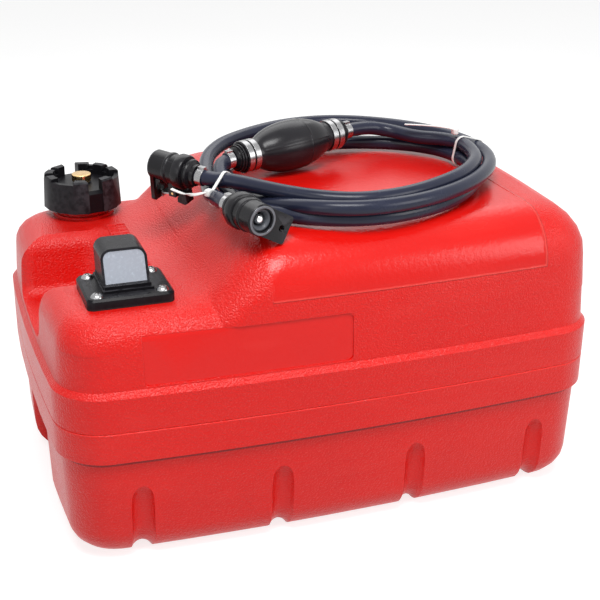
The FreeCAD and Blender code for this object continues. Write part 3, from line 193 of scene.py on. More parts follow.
def red_polyethylene():
    """Blow-moulded tank skin: pebble grain, except on the label panel and on the high part's smooth panel, which has
    a fine moulded border with a paler painted highlight along it; faint streaks; paler specks painted on the pebbles'
    tops as their glints; a painted shadow under the band; and the mould seam painted paler, so that its groove's
    shade looks fainter."""
    f = Finish("red_polyethylene")
    cloud = f.noise(9.0, 3.0)
    streak = f.noise(30.0, 3.0, 0.6, f.stretched((0.25, 1.0, 1.0)))
    across, depth, height = f.axis(0), f.axis(1), f.axis(2)
    panel = across.between(*PANEL_X, 0.004) * height.above(PANEL_LOW_Z, 0.002)
    outer, inner = (across.between(PANEL_X[0], right, 0.001) * height.above(low, 0.0006)
                    for right, low in (BORDER_OUTER, BORDER_INNER))
    border = (outer - inner).clamped()
    label = (1.0 - depth.above(LABEL_Y, 0.001)) * height.between(*LABEL_Z, 0.0005) * across.between(*LABEL_X, 0.0005)
    wall = (1.0 - panel) * (1.0 - label * 0.9)
    pebble = f.cells(760.0) + f.noise(1000.0, 2.0) * 0.5
    peel = f.noise(260.0, 2.0, 0.55)
    tint = f.blend(cloud, rgb(0.64, 0.004, 0.003), rgb(0.74, 0.008, 0.004))
    tint = f.blend(streak.above(0.62, 0.2) * 0.25, tint, rgb(0.78, 0.035, 0.028))
    # Painted highlights: paler specks on the pebbles' tops stand for the glints the grain catches.
    tint = f.blend((1.0 - pebble.above(0.42, 0.3)) * wall * 0.35, tint, rgb(0.88, 0.06, 0.045))
    # Painted highlight: a paler line along the panel's raised border stands for the light its edge catches.
    tint = f.blend(border * 0.35, tint, rgb(0.85, 0.10, 0.08))
    # Painted shadow: the band's underside and the wall just below it are painted dark red.
    tint = f.blend(height.between(*LIP_SHADOW_Z, 0.001, 0.0006) * 0.8, tint, rgb(0.16, 0.004, 0.004))
    # Painted light: the mould seam's groove is painted paler so that its shade looks fainter.
    tint = f.blend(height.between(*SEAM_PAINTED_LIGHT_Z, 0.0006) * 0.3, tint, rgb(0.98, 0.04, 0.03))
    rough = 0.25 + wall * 0.06 + (cloud - 0.5) * 0.10 + (streak - 0.5) * 0.10
    relief = (1.4 - pebble) * (wall * 0.9 + 0.1) + peel * 0.4 + border * 1.5
    return f.set(Base_Color=tint, Roughness=rough, Normal=f.bump(relief, 0.0008, 0.75), Specular_IOR_Level=0.33)


def black_rubber(name, shade, rough, tone):
    """Extruded fuel hose and moulded rubber: nearly black, satin, with a faint bloom of the same tone."""
    f = Finish(name)
    bloom = f.noise(45.0, 4.0, 0.6)
    fine = f.noise(1400.0, 2.0)
    tint = f.blend(bloom, rgb(*(shade * 0.7 * c for c in tone)), rgb(*(shade * 1.4 * c for c in tone)))
    return f.set(Base_Color=tint, Roughness=rough + (bloom - 0.5) * 0.22, Normal=f.bump(fine, 0.00005, 0.5),
                 Specular_IOR_Level=0.27)


def black_moulding(name, shade, rough, grain=0.00006, gloss=0.25):
    """Injection-moulded black plastic with a light spark-eroded texture and greyer rubbed edges."""
    f = Finish(name)
    patch = f.noise(60.0, 3.0)
    fine = f.noise(2600.0, 2.0) + f.cells(1500.0) * 0.5
    rubbed = f.worn_edges().above(0.56, 0.08) * f.noise(210.0, 3.0).above(0.45, 0.3)
    tint = f.blend(patch, rgb(shade * 0.8, shade * 0.75, shade * 0.95), rgb(shade * 1.3, shade * 1.22, shade * 1.5))
    tint = f.blend(rubbed * 0.5, tint, rgb(0.07, 0.07, 0.08))
    return f.set(Base_Color=tint, Roughness=rough + (patch - 0.5) * 0.2 + rubbed * 0.1,
                 Normal=f.bump(fine, grain, 0.6), Specular_IOR_Level=gloss)


def metal(name, dark, light, rough, scratch=0.5):
    """Plated or drawn metal: two tones of one metal, soft stains, and a fine scuffed grain."""
    f = Finish(name)
    stain = f.noise(160.0, 4.0, 0.6)
    scuff = f.noise(900.0, 3.0, 0.6)
    tint = f.blend(stain, dark, light)
    return f.set(Base_Color=tint, Metallic=1.0, Roughness=rough + (stain - 0.5) * 0.16 + (scuff - 0.5) * 0.14,
                 Normal=f.bump(scuff, 0.00004, scratch))


def white_nylon():
    """Cable-tie nylon: slightly warm white with a soft sheen that varies."""
    f = Finish("white_nylon")
    cloud = f.noise(140.0, 2.0)
    tint = f.blend(cloud, rgb(0.74, 0.74, 0.72), rgb(0.86, 0.86, 0.85))
    return f.set(Base_Color=tint, Roughness=0.38 + (cloud - 0.5) * 0.2, Normal=f.bump(f.noise(1500.0), 0.00005, 0.4))


def clear_lens():
    """Slightly smoked window, hazy and pale, with fine dust that dulls it."""
    f = Finish("clear_lens")
    dust = f.noise(420.0, 4.0, 0.65).above(0.62, 0.25)
    haze = f.noise(25.0, 3.0)
    tint = f.blend(haze, rgb(0.44, 0.48, 0.56), rgb(0.56, 0.60, 0.68))
    return f.set(Base_Color=tint, Roughness=0.12 + dust * 0.25 + (haze - 0.5) * 0.08, Coat_Weight=0.3,
                 Alpha=0.62 + dust * 0.15)


def cast_plastic(name, dark, light, rough=0.45):
    """Plain plastic or foam between two tones, with a fine grain."""
    f = Finish(name)
    patch = f.noise(120.0, 3.0)
    return f.set(Base_Color=f.blend(patch, dark, light), Roughness=rough + (patch - 0.5) * 0.2,
                 Normal=f.bump(f.noise(1800.0, 2.0), 0.00006, 0.5))


RED = red_polyethylene()
# The fuel hose's strong blue tone is a painted sheen: it stands for the bluish light reflected on the black rubber.
HOSE = black_rubber("black_hose", 0.020, 0.25, (0.75, 0.9, 1.9))
BULB = black_rubber("black_bulb", 0.011, 0.24, (1.0, 0.95, 1.2))
SEAL = black_rubber("black_seal", 0.014, 0.5, (1.0, 1.0, 1.0))
CAP = black_moulding("cap_plastic", 0.007, 0.36, gloss=0.12)
GAUGE = black_moulding("gauge_plastic", 0.008, 0.26, 0.00004, 0.09)
FITTING = black_moulding("fitting_plastic", 0.008, 0.24)
STEEL = metal("zinc_steel", rgb(0.24, 0.24, 0.25), rgb(0.46, 0.46, 0.46), 0.27)
GREY_SEAL = black_rubber("grey_seal", 0.09, 0.35, (0.9, 0.95, 1.1))
DARK_STEEL = metal("dull_steel", rgb(0.09, 0.09, 0.10), rgb(0.20, 0.20, 0.22), 0.22)
CHROME = metal("bright_chrome", rgb(0.72, 0.73, 0.74), rgb(0.84, 0.84, 0.85), 0.12, scratch=0.2)
BRASS = metal("yellow_brass", rgb(0.62, 0.40, 0.17), rgb(0.78, 0.56, 0.28), 0.26)
NYLON = white_nylon()
LENS = clear_lens()
FRAME_PLASTIC = cast_plastic("pale_acetal", rgb(0.62, 0.60, 0.54), rgb(0.74, 0.72, 0.66))
FOAM = cast_plastic("black_foam", rgb(0.02, 0.02, 0.02), rgb(0.05, 0.05, 0.05), 0.8)
DRUM = cast_plastic("drum_plastic", rgb(0.10, 0.10, 0.10), rgb(0.14, 0.14, 0.14), 0.4)


# ---------------------------------------------------------------- camera, light and floor
CAMERA_PLACE = (-0.32141, -0.94108, 0.56934)    # m
CAMERA_TURN = (19.466, 23.205, 0.615)           # yaw, pitch and roll, in degrees
CAMERA_LENS, SENSOR_W = 71.88, 36.0             # mm


def make_camera():
    """Pinhole camera that looks down on the tank's front left corner."""
    yaw, pitch, roll = (math.radians(degrees) for degrees in CAMERA_TURN)
    forward = Vector((math.sin(yaw) * math.cos(pitch), math.cos(yaw) * math.cos(pitch), -math.sin(pitch)))
    right = Vector((math.cos(yaw), -math.sin(yaw), 0))
    up = right.cross(forward)
    right_rolled = right * math.cos(roll) + up * math.sin(roll)
    up_rolled = up * math.cos(roll) - right * math.sin(roll)
    camera = bpy.data.objects.new("camera", bpy.data.cameras.new("camera"))
    camera.data.sensor_width = SENSOR_W
    camera.data.lens = CAMERA_LENS
    camera.matrix_world = Matrix((right_rolled, up_rolled, -forward)).transposed().to_4x4()
    camera.location = CAMERA_PLACE
    scene.collection.objects.link(camera)
    scene.camera = camera


def area_light(name, place, target, size, power):
    """A rectangular lamp at a place, in metres, turned to a target, with its power in watts."""
    lamp = bpy.data.lights.new(name, "AREA")
    lamp.shape = "RECTANGLE"
    lamp.size, lamp.size_y = size
    lamp.energy = power
    obj = bpy.data.objects.new(name, lamp)
    obj.location = place
    obj.rotation_euler = (Vector(target) - Vector(place)).to_track_quat("-Z", "Y").to_euler()
    scene.collection.objects.link(obj)


def white_where_seen(nodes, lighting, seen_as):
    """A strength that is one value for the camera, mirrors and glass, and another where it only lights."""
    rays = nodes.node("ShaderNodeLightPath", {}).outputs
    seen = Value(nodes, rays["Is Camera Ray"])
    for name in ("Is Glossy Ray", "Is Transmission Ray"):
        seen = seen.math("MAXIMUM", rays[name])
    return seen * (seen_as - lighting) + lighting


def make_light():
    """Soft lamps behind, above and in front at both sides, and a white surround that lights only a little."""
    area_light("rear_softbox", (0.1, 1.0, 1.35), (0, 0, 0.2), (1.8, 1.0), 10.0)
    area_light("overhead_softbox", (-0.2, -0.7, 1.45), (0, 0, 0.1), (0.8, 0.5), 17.5)
    area_light("front_right_softbox", (1.3, -1.3, 0.9), (0, 0, 0.1), (0.9, 0.9), 11.0)
    area_light("front_left_fill", (-1.4, -1.1, 0.8), (0, 0, 0.1), (0.9, 0.9), 3.5)
    world = bpy.data.worlds.new("studio")
    scene.world = world
    world.use_nodes = True
    studio = Nodes(world.node_tree)
    surround = studio.tree.nodes["Background"]
    studio.put(surround.inputs["Color"], rgb(1, 1, 1))
    studio.put(surround.inputs["Strength"], white_where_seen(studio, 0.24, 1.0))


def make_floor():
    """A wide pale floor that is white to the camera and keeps the object's shadow."""
    mesh = bpy.data.meshes.new("floor")
    half = 12.0
    mesh.from_pydata([(-half, -half, 0), (half, -half, 0), (half, half, 0), (-half, half, 0)], [], [(0, 1, 2, 3)])
    floor = bpy.data.objects.new("floor", mesh)
    scene.collection.objects.link(floor)
    f = Finish("floor_white")
    cloud = f.noise(3.0, 2.0)
    tint = f.blend(cloud, rgb(0.38, 0.38, 0.38), rgb(0.42, 0.42, 0.42))
    mesh.materials.append(f.set(Base_Color=tint, Roughness=0.9, Specular_IOR_Level=0.1, Emission_Color=rgb(1, 1, 1),
                                Emission_Strength=white_where_seen(f, 0.25, 0.80)))


# ---------------------------------------------------------------- mesh helpers
def grid_mesh(name, points, close_u=False, close_v=False, caps=False):
    """A mesh over a grid of points: neighbours along both parameters join into quads, and end rings may be capped."""
    n_u, n_v = points.shape[:2]
    index = np.arange(n_u * n_v).reshape(n_u, n_v)
    u = np.arange(n_u if close_u else n_u - 1)
    w = np.arange(n_v if close_v else n_v - 1)
    a = index[np.ix_(u, w)]
    b = index[np.ix_((u + 1) % n_u, w)]
    c = index[np.ix_((u + 1) % n_u, (w + 1) % n_v)]
    d = index[np.ix_(u, (w + 1) % n_v)]
    faces = np.stack([a, b, c, d], -1).reshape(-1, 4).tolist()
    if caps:
        faces += [index[0][::-1].tolist(), index[-1].tolist()]
    mesh = bpy.data.meshes.new(name)
    mesh.from_pydata(points.reshape(-1, 3).tolist(), [], faces)
    return mesh


def joined(name, parts):
    """Several meshes as one."""
    shape = bmesh.new()
    for part in parts:
        shape.from_mesh(part)
    mesh = bpy.data.meshes.new(name)
    shape.to_mesh(mesh)
    shape.free()
    return mesh


def outward(mesh):
    """Merges doubles, then turns every face outwards."""
    shape = bmesh.new()
    shape.from_mesh(mesh)
    bmesh.ops.remove_doubles(shape, verts=shape.verts, dist=1e-6)
    bmesh.ops.recalc_face_normals(shape, faces=shape.faces)
    shape.to_mesh(mesh)
    shape.free()


def piece(name, mesh, material, body, replaced=(), sharp=35.0, bevel=0.0):
    """Makes the mesh an object of its own that rides on a body, with smooth shading up to an angle."""
    obj = bpy.data.objects.new(name, mesh)
    scene.collection.objects.link(obj)
    mesh.materials.clear()
    mesh.materials.append(material)
    shape = bmesh.new()
    shape.from_mesh(mesh)
    for face in shape.faces:
        face.smooth = True
    for edge in shape.edges:
        if len(edge.link_faces) == 2 and edge.calc_face_angle(0) > math.radians(sharp):
            edge.smooth = False
    shape.to_mesh(mesh)
    shape.free()
    if bevel:
        rounding = obj.modifiers.new("rounded_edges", "BEVEL")
        rounding.width = bevel
        rounding.segments = 2
        rounding.limit_method = "ANGLE"
        rounding.angle_limit = math.radians(sharp)
        rounding.harden_normals = True
        rounding.miter_outer = "MITER_ARC"
    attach(obj, body)
    if replaced:
        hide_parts(*replaced)


def finished(node, material, bevel=0.0003, sharp=35.0):
    """A copy of a CAD node whose triangles are joined, with its edges slightly rounded, that stands for it."""
    mesh = frame["nodes"][node].data.copy()
    if "custom_normal" in mesh.attributes:
        mesh.attributes.remove(mesh.attributes["custom_normal"])
    shape = bmesh.new()
    shape.from_mesh(mesh)
    bmesh.ops.remove_doubles(shape, verts=shape.verts, dist=2e-6)
    bmesh.ops.dissolve_limit(shape, angle_limit=math.radians(0.6), verts=shape.verts, edges=shape.edges)
    shape.to_mesh(mesh)
    shape.free()
    piece(node + "_made", mesh, material, frame["nodes"][node]["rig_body"], [node], sharp, bevel)


# ---------------------------------------------------------------- hoses
HOSE_R = 6.25                   # mm


def metres(points):
    return [tuple(c * MM for c in p) for p in points]


TANK_LINE = metres([
    (70.5, 55.4, 278.9), (92, 63, 279.6), (118, 66, 274.5), (137, 40, 272.5), (156, 26.5, 273),
    (167.3, 9.5, 273.4), (166, -13.9, 273.4), (158, -41, 273.5), (142.3, -63.5, 273.8), (123.3, -82.5, 274),
    (100.8, -97, 274), (72.5, -110.5, 273.6), (45.6, -117.3, 273.4), (18.3, -117.8, 273.4), (-6.7, -106.6, 273.6),
    (-29.5, -88.9, 274.4), (-47, -70.5, 275.4), (-60.7, -55.9, 276.4), (-72, -46.5, 277), (-79.5, -38.8, 275.4),
    (-88.6, -28.3, 276.5)])
ENGINE_LINE = metres([
    (-46.3, 14.0, 274.6), (-57.6, 10.0, 274.2), (-63.5, -5, 270), (-65, -24, 264.5), (-64, -42, 261.5),
    (-61, -60, 260.9), (-55, -77, 260.9), (-42, -95, 260.9), (-21, -112, 260.9),
    (4, -123.2, 260.9), (31.5, -127.7, 260.9), (60.3, -124.3, 260.9), (89.4, -114.2, 260.9), (117.9, -96.3, 260.9),
    (142.3, -69.9, 260.9), (158.1, -38.6, 260.9), (165.1, -8.8, 260.9), (163.3, 20.2, 260.9), (151.6, 43, 260.9),
    (131.3, 61.8, 260.9), (106.2, 75, 260.9), (73.9, 83.2, 260.9), (39.4, 84.6, 261), (6.7, 80.6, 261),
    (-23.5, 69.5, 261), (-43, 50, 261), (-53, 27, 261), (-53.5, 2, 261), (-51.5, -22, 261), (-49, -43, 261),
    (-46, -63, 261.6), (-40, -83, 264.5),
    (-27, -107.5, 269.4), (-5.4, -125.5, 271.4), (20.7, -132.6, 271.4), (50.9, -130.8, 271.4), (80.7, -122.1, 271),
    (113, -104.9, 270.5), (143.1, -80.4, 270), (168, -49, 269.5), (181, -16.1, 269), (181.3, 7, 269.5),
    (175.1, 26, 271), (163.5, 44, 273), (148, 64.5, 273.7), (126.2, 87.1, 273.7), (97.8, 106.3, 273.7),
    (65.4, 115.5, 273.7), (28.6, 111.4, 273.7), (-6.3, 94.6, 273.6), (-36.2, 74.1, 273), (-51.3, 56.9, 272),
    (-61, 42, 270.5), (-67, 27, 268), (-72, 8, 265), (-76, -12, 262.5), (-79.5, -30, 262), (-82.5, -50, 265.5),
    (-84.1, -84.5, 272.2), (-79.9, -97.9, 272.2)])


def hose(name, points, replaced):
    """A fuel hose that follows its route as one smooth spline."""
    curve = bpy.data.curves.new(name, "CURVE")
    curve.dimensions = "3D"
    curve.bevel_depth = HOSE_R * MM
    curve.bevel_resolution = 6
    curve.use_fill_caps = True
    spline = curve.splines.new("NURBS")
    spline.points.add(len(points) - 1)
    for point, place in zip(spline.points, points):
        point.co = (*place, 1.0)
    spline.order_u = 3
    spline.use_endpoint_u = True
    spline.resolution_u = 10
    spline.use_smooth = True
    curve.materials.append(HOSE)
    obj = bpy.data.objects.new(name, curve)
    scene.collection.objects.link(obj)
    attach(obj, "tank")
    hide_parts(*replaced)
    return obj


def line_points(hose_object):
    """Points along a hose's own spline, in mm, read from its curve with the thickness left out."""
    bare = hose_object.data.copy()
    bare.bevel_depth = 0
    holder = bpy.data.objects.new("bare_line", bare)
    mesh = bpy.data.meshes.new_from_object(holder)
    points = np.empty(len(mesh.vertices) * 3)
    mesh.vertices.foreach_get("co", points)
    bpy.data.objects.remove(holder)
    bpy.data.meshes.remove(mesh)
    return points.reshape(-1, 3) / MM


# ---------------------------------------------------------------- places
def placed(points, at, z_way, x_way):
    """Local points in mm, carried to a place: local Z along z_way, local X as near x_way as it can be."""
    z_axis = np.array(z_way, float) / np.linalg.norm(z_way)
    x_axis = np.array(x_way, float) - z_axis * np.dot(x_way, z_axis)
    x_axis /= np.linalg.norm(x_axis)
    turn = np.array([x_axis, np.cross(z_axis, x_axis), z_axis])
    return (points @ turn + np.array(at)) * MM


def turned_points(profile, around=96):
    """Rings about local Z: the profile's (radius, z) pairs swept through a whole turn."""
    radius, z = np.array(profile, float).T
    angle = np.linspace(0, 2 * np.pi, around, endpoint=False)
    return np.stack([radius[:, None] * np.cos(angle), radius[:, None] * np.sin(angle),
                     np.broadcast_to(z[:, None], (len(z), around))], -1)


def block_points(half, power=5.0, steps=24):
    """A rounded block: the surface |x/a|^p + |y/b|^p + |z/c|^p = 1, as a sphere's grid pushed out to it."""
    polar = np.linspace(0, np.pi, steps)
    angle = np.linspace(0, 2 * np.pi, 2 * steps, endpoint=False)
    way = np.stack([np.sin(polar)[:, None] * np.cos(angle), np.sin(polar)[:, None] * np.sin(angle),
                    np.broadcast_to(np.cos(polar)[:, None], (steps, 2 * steps))], -1)
    size = (np.abs(way) ** power).sum(-1, keepdims=True) ** (-1 / power)
    return way * size * np.array(half)


# ---------------------------------------------------------------- tank skin
DECK_Z = 207.0
FILLET_REACH = 17.0             # how far the hollow reaches from the crease, on the deck and on the slope
BAR_W, BAR_T = 1.1, 0.9         # a bar of the moulded tables, most of it sunk in the deck


def make_moulded_fillet():
    """The soft hollow between the deck and the slope of the high part. Each section is a quadratic curve from a
    point on the deck, by the crease, to a point on the slope; the crease's own line closes it underneath."""
    half = np.array([(-114.8, 0.0, DECK_Z), (-114.6, -31.4, DECK_Z), (-113.8, -61.0, DECK_Z),
                     (-112.5, -90.7, DECK_Z), (-110.7, -118.0, DECK_Z), (-109.8, -126.2, 206.9),
                     (-107.9, -133.3, 206.2), (-106.3, -139.3, 204.5), (-105.2, -143.5, 202.0)])
    crease = smooth_path(np.vstack([half[::-1], half[1:] * (1, -1, 1)]), 180)
    out = np.abs(crease[:, 1:2])
    reach = FILLET_REACH * np.clip((146.0 - out) / 30.0, 0, 1)  # it runs out towards the tank's front and back
    fall = np.clip((out - 122.0) / 20.0, 0, 1)                  # the crease falls over the deck's rounded edge
    deck = np.hstack([-np.ones_like(fall), 0 * fall, 0.04 * fall])
    slope = np.hstack([0.72 - 0.1 * fall, -np.sign(crease[:, 1:2]) * 0.55 * fall, 0.69 + 0 * fall])
    slope /= np.linalg.norm(slope, axis=1, keepdims=True)
    first, last = crease + deck * reach, crease + slope * reach
    t = np.linspace(0, 1, 14)[:, None, None]
    skin = (1 - t) ** 2 * first + 2 * t * (1 - t) * crease + t ** 2 * last
    inner = crease + (deck + slope) * -0.4
    rows = np.concatenate([skin, inner[None]]).transpose(1, 0, 2)
    mesh = grid_mesh("moulded_fillet", rows * MM, close_v=True, caps=True)
    outward(mesh)
    piece("moulded_fillet", mesh, RED, "tank", (), 60.0)


def make_moulded_marks():
    """Low moulded marks: round pips on the high part's shoulder, each an ellipsoid, and two bare ruled tables on the
    deck, each a set of straight raised bars with a rounded oblong section."""
    parts = []
    for x, size in ((-12.0, 1.3), (43.0, 1.1), (118.0, 1.3)):
        pip = block_points((size, size, size * 0.7), 2.0, 10)
        parts.append(grid_mesh("pip", placed(pip, (x, -128.0, 246.5), (0, -0.4, 0.9), (1, 0, 0)), close_v=True))
    x0, x1, z = -149.0, -132.5, DECK_Z + 0.1
    for y0, y1 in ((-36.0, 12.0), (22.0, 68.0)):
        bars = [((x, y0, z), (x, y1, z), (1, 0, 0)) for x in np.linspace(x0, x1, 3)]
        bars += [((x0, y, z), (x1, y, z), (0, 1, 0)) for y in np.linspace(y0, y1, 7)]
        for start, end, across in bars:
            bar = ribbon_points(np.linspace(start, end, 4), across, BAR_W, BAR_T) * MM
            parts.append(grid_mesh("bar", bar, close_v=True, caps=True))
    mesh = joined("moulded_marks", parts)
    outward(mesh)
    piece("moulded_marks", mesh, RED, "tank", (), 40.0)


# ---------------------------------------------------------------- primer bulb
BULB_CENTRE = (12.06, 34.7, 276.75)
BULB_AXIS = (0.942, 0.334, 0.034)
EGG_HALF, NECK_END = 36.0, 54.0     # mm from the bulb's middle
EGG_R, NECK_R = 22.5, 13.0
SKIN = 0.2                          # how far the egg stays inside EGG_R, so that its mould lines don't pass it
SHARPNESS = 1.2                     # of the smooth maximum, per mm
SEAM_ANGLE = 1.2                    # of the first mould line, in radians


def make_bulb():
    """A turned skin: its radius is an ellipse of the length in the middle and a straight neck past it, blended by a
    smooth maximum, which is the logarithm of a sum of exponentials. Two raised mould lines run along it at opposite
    angles, one ring goes round it, and each neck has a lip, all narrow bell curves."""
    s = np.concatenate([np.linspace(-NECK_END, -EGG_HALF, 12)[:-1], np.linspace(-EGG_HALF, EGG_HALF, 100),
                        np.linspace(EGG_HALF, NECK_END, 12)[1:]])
    angle = np.linspace(0, 2 * np.pi, 144, endpoint=False)
    stretch = EGG_HALF / math.sqrt(1 - (NECK_R / EGG_R) ** 2)
    egg = (EGG_R - SKIN) * np.sqrt(np.clip(1 - (s / stretch) ** 2, 0, 1))
    radius = np.log(np.exp(egg * SHARPNESS) + np.exp((NECK_R - SKIN / 2) * SHARPNESS)) / SHARPNESS
    seam = sum(np.exp(-(np.angle(np.exp(1j * (angle - at))) / 0.03) ** 2) for at in (SEAM_ANGLE, SEAM_ANGLE + np.pi))
    ring = 0.3 * np.exp(-((s - 10.5) / 0.7) ** 2)
    lip = 0.5 * np.exp(-((np.abs(s) - 52.8) / 0.7) ** 2)
    r = radius[:, None] + 0.35 * seam * (radius[:, None] > NECK_R + 0.2) + (ring + lip)[:, None]
    points = np.stack([r * np.cos(angle), r * np.sin(angle), np.broadcast_to(s[:, None], r.shape)], -1)
    mesh = grid_mesh("primer_bulb_skin", placed(points, BULB_CENTRE, BULB_AXIS, (0, 0, 1)), close_v=True, caps=True)
    outward(mesh)
    piece("primer_bulb_skin", mesh, BULB, "tank", ["primer_bulb"], 50.0)


# ---------------------------------------------------------------- quick connectors
RIDGES = [[(11.8, -13.6), (13.0, -14.2), (13.5, -15.4), (13.5, -16.8), (13.0, -17.9), (11.8, -18.6)],
          [(11.8, -23.0), (13.9, -23.8), (14.5, -25.2), (14.5, -30.8), (13.9, -32.2), (10.8, -33.0)],
          [(10.6, -34.4), (12.1, -34.8), (12.5, -35.6), (12.0, -37.2), (8.6, -38.6)]]
SEALING_CUP = [(8.9, -2.6), (8.2, -2.1), (7.4, -2.1), (6.8, -2.5), (5.4, -5.5), (4.9, -8.0), (5.4, -10.2),
               (6.4, -13.2), (8.9, -13.2)]


def make_connector_rings(end, mouth, axis, plate_way):
    """Moulded ridges round a connector's barrel and the sealing cup in its mouth: closed rings of revolution about
    its axis, each a profile of (radius, height) pairs in mm, measured from the mouth."""
    def ring(name, profile):
        points = placed(turned_points(profile + profile[:1]), mouth, axis, plate_way)
        return grid_mesh(name, points, close_v=True)

    ridges = joined(end + "_connector_ridges", [ring("ridge", profile) for profile in RIDGES])
    outward(ridges)
    piece(end + "_connector_ridges", ridges, FITTING, "tank", (), 40.0, 0.0003)
    cup = ring(end + "_sealing_cup", SEALING_CUP)
    outward(cup)
    piece(end + "_sealing_cup", cup, GREY_SEAL, "tank", [end + "_connector_seal"], 50.0, 0.0002)


# ---------------------------------------------------------------- cable ties
LOOP_STRAP = (2.6, 1.1)         # width and thickness, in mm
TAIL_STRAP = (2.5, 1.0)
HEAD_HALF = (2.9, 3.3, 2.6)     # half sizes of the head
TIE_CLEAR = HOSE_R + 0.65       # from a strand's centre to the strap's middle


def smooth_path(points, count=120):
    """Points on a uniform cubic B-spline that starts and ends on the first and last of the given points."""
    p = np.array(points, float)
    p = np.vstack([2 * p[0] - p[1], p, 2 * p[-1] - p[-2]])
    t = np.linspace(0, len(p) - 3, count, endpoint=False)
    i = t.astype(int)
    u = (t - i)[:, None]
    weights = ((1 - u) ** 3, 3 * u ** 3 - 6 * u ** 2 + 4, -3 * u ** 3 + 3 * u ** 2 + 3 * u + 1, u ** 3)
    return sum(w * p[i + k] for k, w in enumerate(weights)) / 6


def ribbon_points(path, across, width, thick, closed=False):
    """A flat strap: a rounded oblong, (cos^0.4, sin^0.4) with its signs kept, carried along a path."""
    angle = np.linspace(0, 2 * np.pi, 20, endpoint=False)
    wide = np.sign(np.cos(angle)) * np.abs(np.cos(angle)) ** 0.4 * width / 2
    high = np.sign(np.sin(angle)) * np.abs(np.sin(angle)) ** 0.4 * thick / 2
    along = (np.roll(path, -1, 0) - np.roll(path, 1, 0)) if closed else np.gradient(path, axis=0)
    across = np.broadcast_to(np.array(across, float), path.shape)
    out = np.cross(along, across)
    out /= np.linalg.norm(out, axis=1, keepdims=True)
    side = np.cross(out, along)
    side /= np.linalg.norm(side, axis=1, keepdims=True)
    return path[:, None] + wide[:, None] * side[:, None] + high[:, None] * out[:, None]


def strands_at(lines, at, way, reach=40.0):
    """Where the hoses' lines cross the plane through a point, square to a way, as places in that plane. Each place
    is the point of the line's segment at which its signed distance from the plane is zero."""
    way = np.array(way, float) / np.linalg.norm(way)
    right = np.cross((0, 0, 1), way)
    found = []
    for line in lines:
        offset = (line - at) @ way
        cross = np.flatnonzero(offset[:-1] * offset[1:] <= 0)
        share = (offset[cross] / (offset[cross] - offset[cross + 1]))[:, None]
        found.append(line[cross] + share * (line[cross + 1] - line[cross]))
    found = np.vstack(found) - at
    places = np.stack([found @ right, found[:, 2]], 1)
    return places[np.linalg.norm(places, axis=1) < reach], right, way


def tie_loop(lines, at, way, clear):
    """The strap pulled tight round a bundle: in each direction the furthest strand's centre, plus a round's radius
    in that direction."""
    places, right, way = strands_at(lines, np.array(at, float), way)
    angle = np.linspace(0, 2 * np.pi, 160, endpoint=False)
    facing = np.stack([np.cos(angle), np.sin(angle)], 1)
    furthest = places[np.argmax(places @ facing.T, axis=0)]
    loop = furthest + facing * clear
    return np.array(at) + loop[:, :1] * right + loop[:, 1:] * np.array((0, 0, 1)), way


def make_tie(name, node, at, way, head, head_ways, tail):
    """One cable tie: tight loop, rounded head and free tail, as one piece. The loop and the tail are flat straps, and
    the head is a rounded block."""
    loop, way = tie_loop([line_points(tank_hose), line_points(engine_hose)], at, way, TIE_CLEAR)
    mesh = joined(name, [
        grid_mesh(name, ribbon_points(loop, way, *LOOP_STRAP, closed=True) * MM, close_u=True, close_v=True),
        grid_mesh(name, ribbon_points(smooth_path(tail), way, *TAIL_STRAP) * MM, close_v=True, caps=True),
        grid_mesh(name, placed(block_points(HEAD_HALF), head, *head_ways), close_v=True)])
    outward(mesh)
    piece(name, mesh, NYLON, "tank", [node], 50.0)


# ---------------------------------------------------------------- build
make_camera()
tank_hose = hose("tank_line_hose", TANK_LINE, ["tank_end_hose", "bulb_inlet_hose"])
engine_hose = hose("engine_line_hose", ENGINE_LINE, ["engine_end_hose", "bulb_outlet_hose", "hose_coil"])
make_light()
make_floor()
make_bulb()

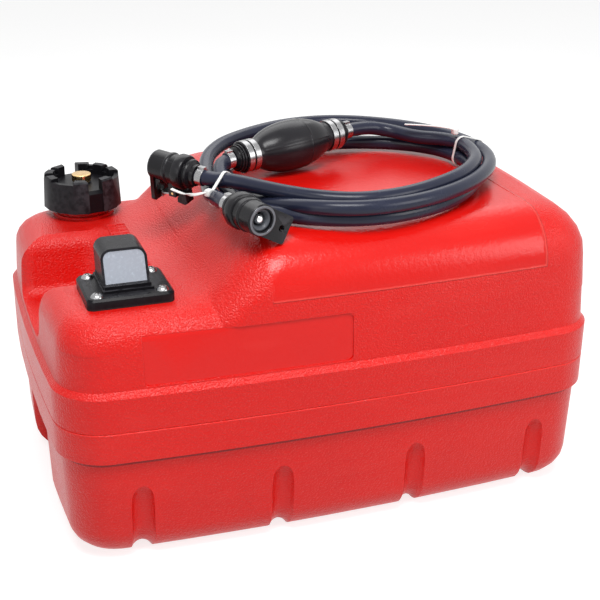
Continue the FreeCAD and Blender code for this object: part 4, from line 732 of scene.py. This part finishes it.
finished("tank_body", RED, 0.0009, 26.0)
make_moulded_fillet()
make_moulded_marks()
finished("filler_cap", CAP, 0.0006, 30.0)
for name in ("gauge_flange", "gauge_hood"):
    finished(name, GAUGE, 0.0005, 30.0)
for name in ("gauge_gasket", "cap_gasket", "vent_seal", "inlet_check_disc", "outlet_check_disc"):
    finished(name, SEAL, 0.0001)
for name in ("tank_connector", "engine_connector", "tank_latch", "engine_latch", "bulb_inlet_valve",
             "bulb_outlet_valve"):
    finished(name, FITTING, 0.0004, 30.0)
for name in ("gauge_screws", "gauge_inserts", "bulb_bands", "hose_clamps", "tank_latch_hook", "engine_latch_hook",
             "pickup_strainer"):
    finished(name, STEEL, 0.0002)
for name in ("tank_connector_ring", "engine_connector_ring"):
    finished(name, DARK_STEEL, 0.0003)
for name in ("tank_valve", "engine_valve"):
    finished(name, CHROME, 0.0002)
make_connector_rings("tank", (-116.0, 3.4, 280.0), (-0.651, 0.754, 0.083), (0.15, 0.11, -0.98))
make_connector_rings("engine", (-67.6, -138.0, 272.2), (0.294, -0.956, 0.0), (0.84, 0.24, -0.487))
for name in ("vent_bush", "vent_screw", "tank_latch_pin", "engine_latch_pin", "pickup_tube", "fuel_outlet",
             "indicator_spindle", "spindle_bushes"):
    finished(name, BRASS, 0.0002)
finished("gauge_lens", LENS, 0.0002)
finished("float_frame", FRAME_PLASTIC, 0.0002)
finished("gauge_float", FOAM, 0.0005)
finished("indicator_drum", DRUM, 0.0002)
make_tie("left_cable_tie", "left_tie", (-76.0, -52.0, 268.0), (-0.69, 0.724, 0), (-89.0, -63.4, 273.0),
         ((-0.69, 0.724, 0), (0, 0, 1)),
         [(-89.5, -64.0, 274.0), (-94.5, -65.0, 273.5), (-98.8, -62.5, 272), (-103, -58.5, 271), (-108, -52, 270.5),
          (-113.9, -40.3, 271.5)])
make_tie("right_cable_tie", "right_tie", (166.0, 3.0, 268.0), (0.02, -1.0, 0), (161.5, 9.5, 284.0),
         ((1, 0, 0), (0, 0, 1)),
         [(160.5, 8.5, 285.5), (154.5, 13.5, 287), (143.3, 22.5, 287.3), (132.4, 31.9, 286.5), (124.3, 38.2, 286)])
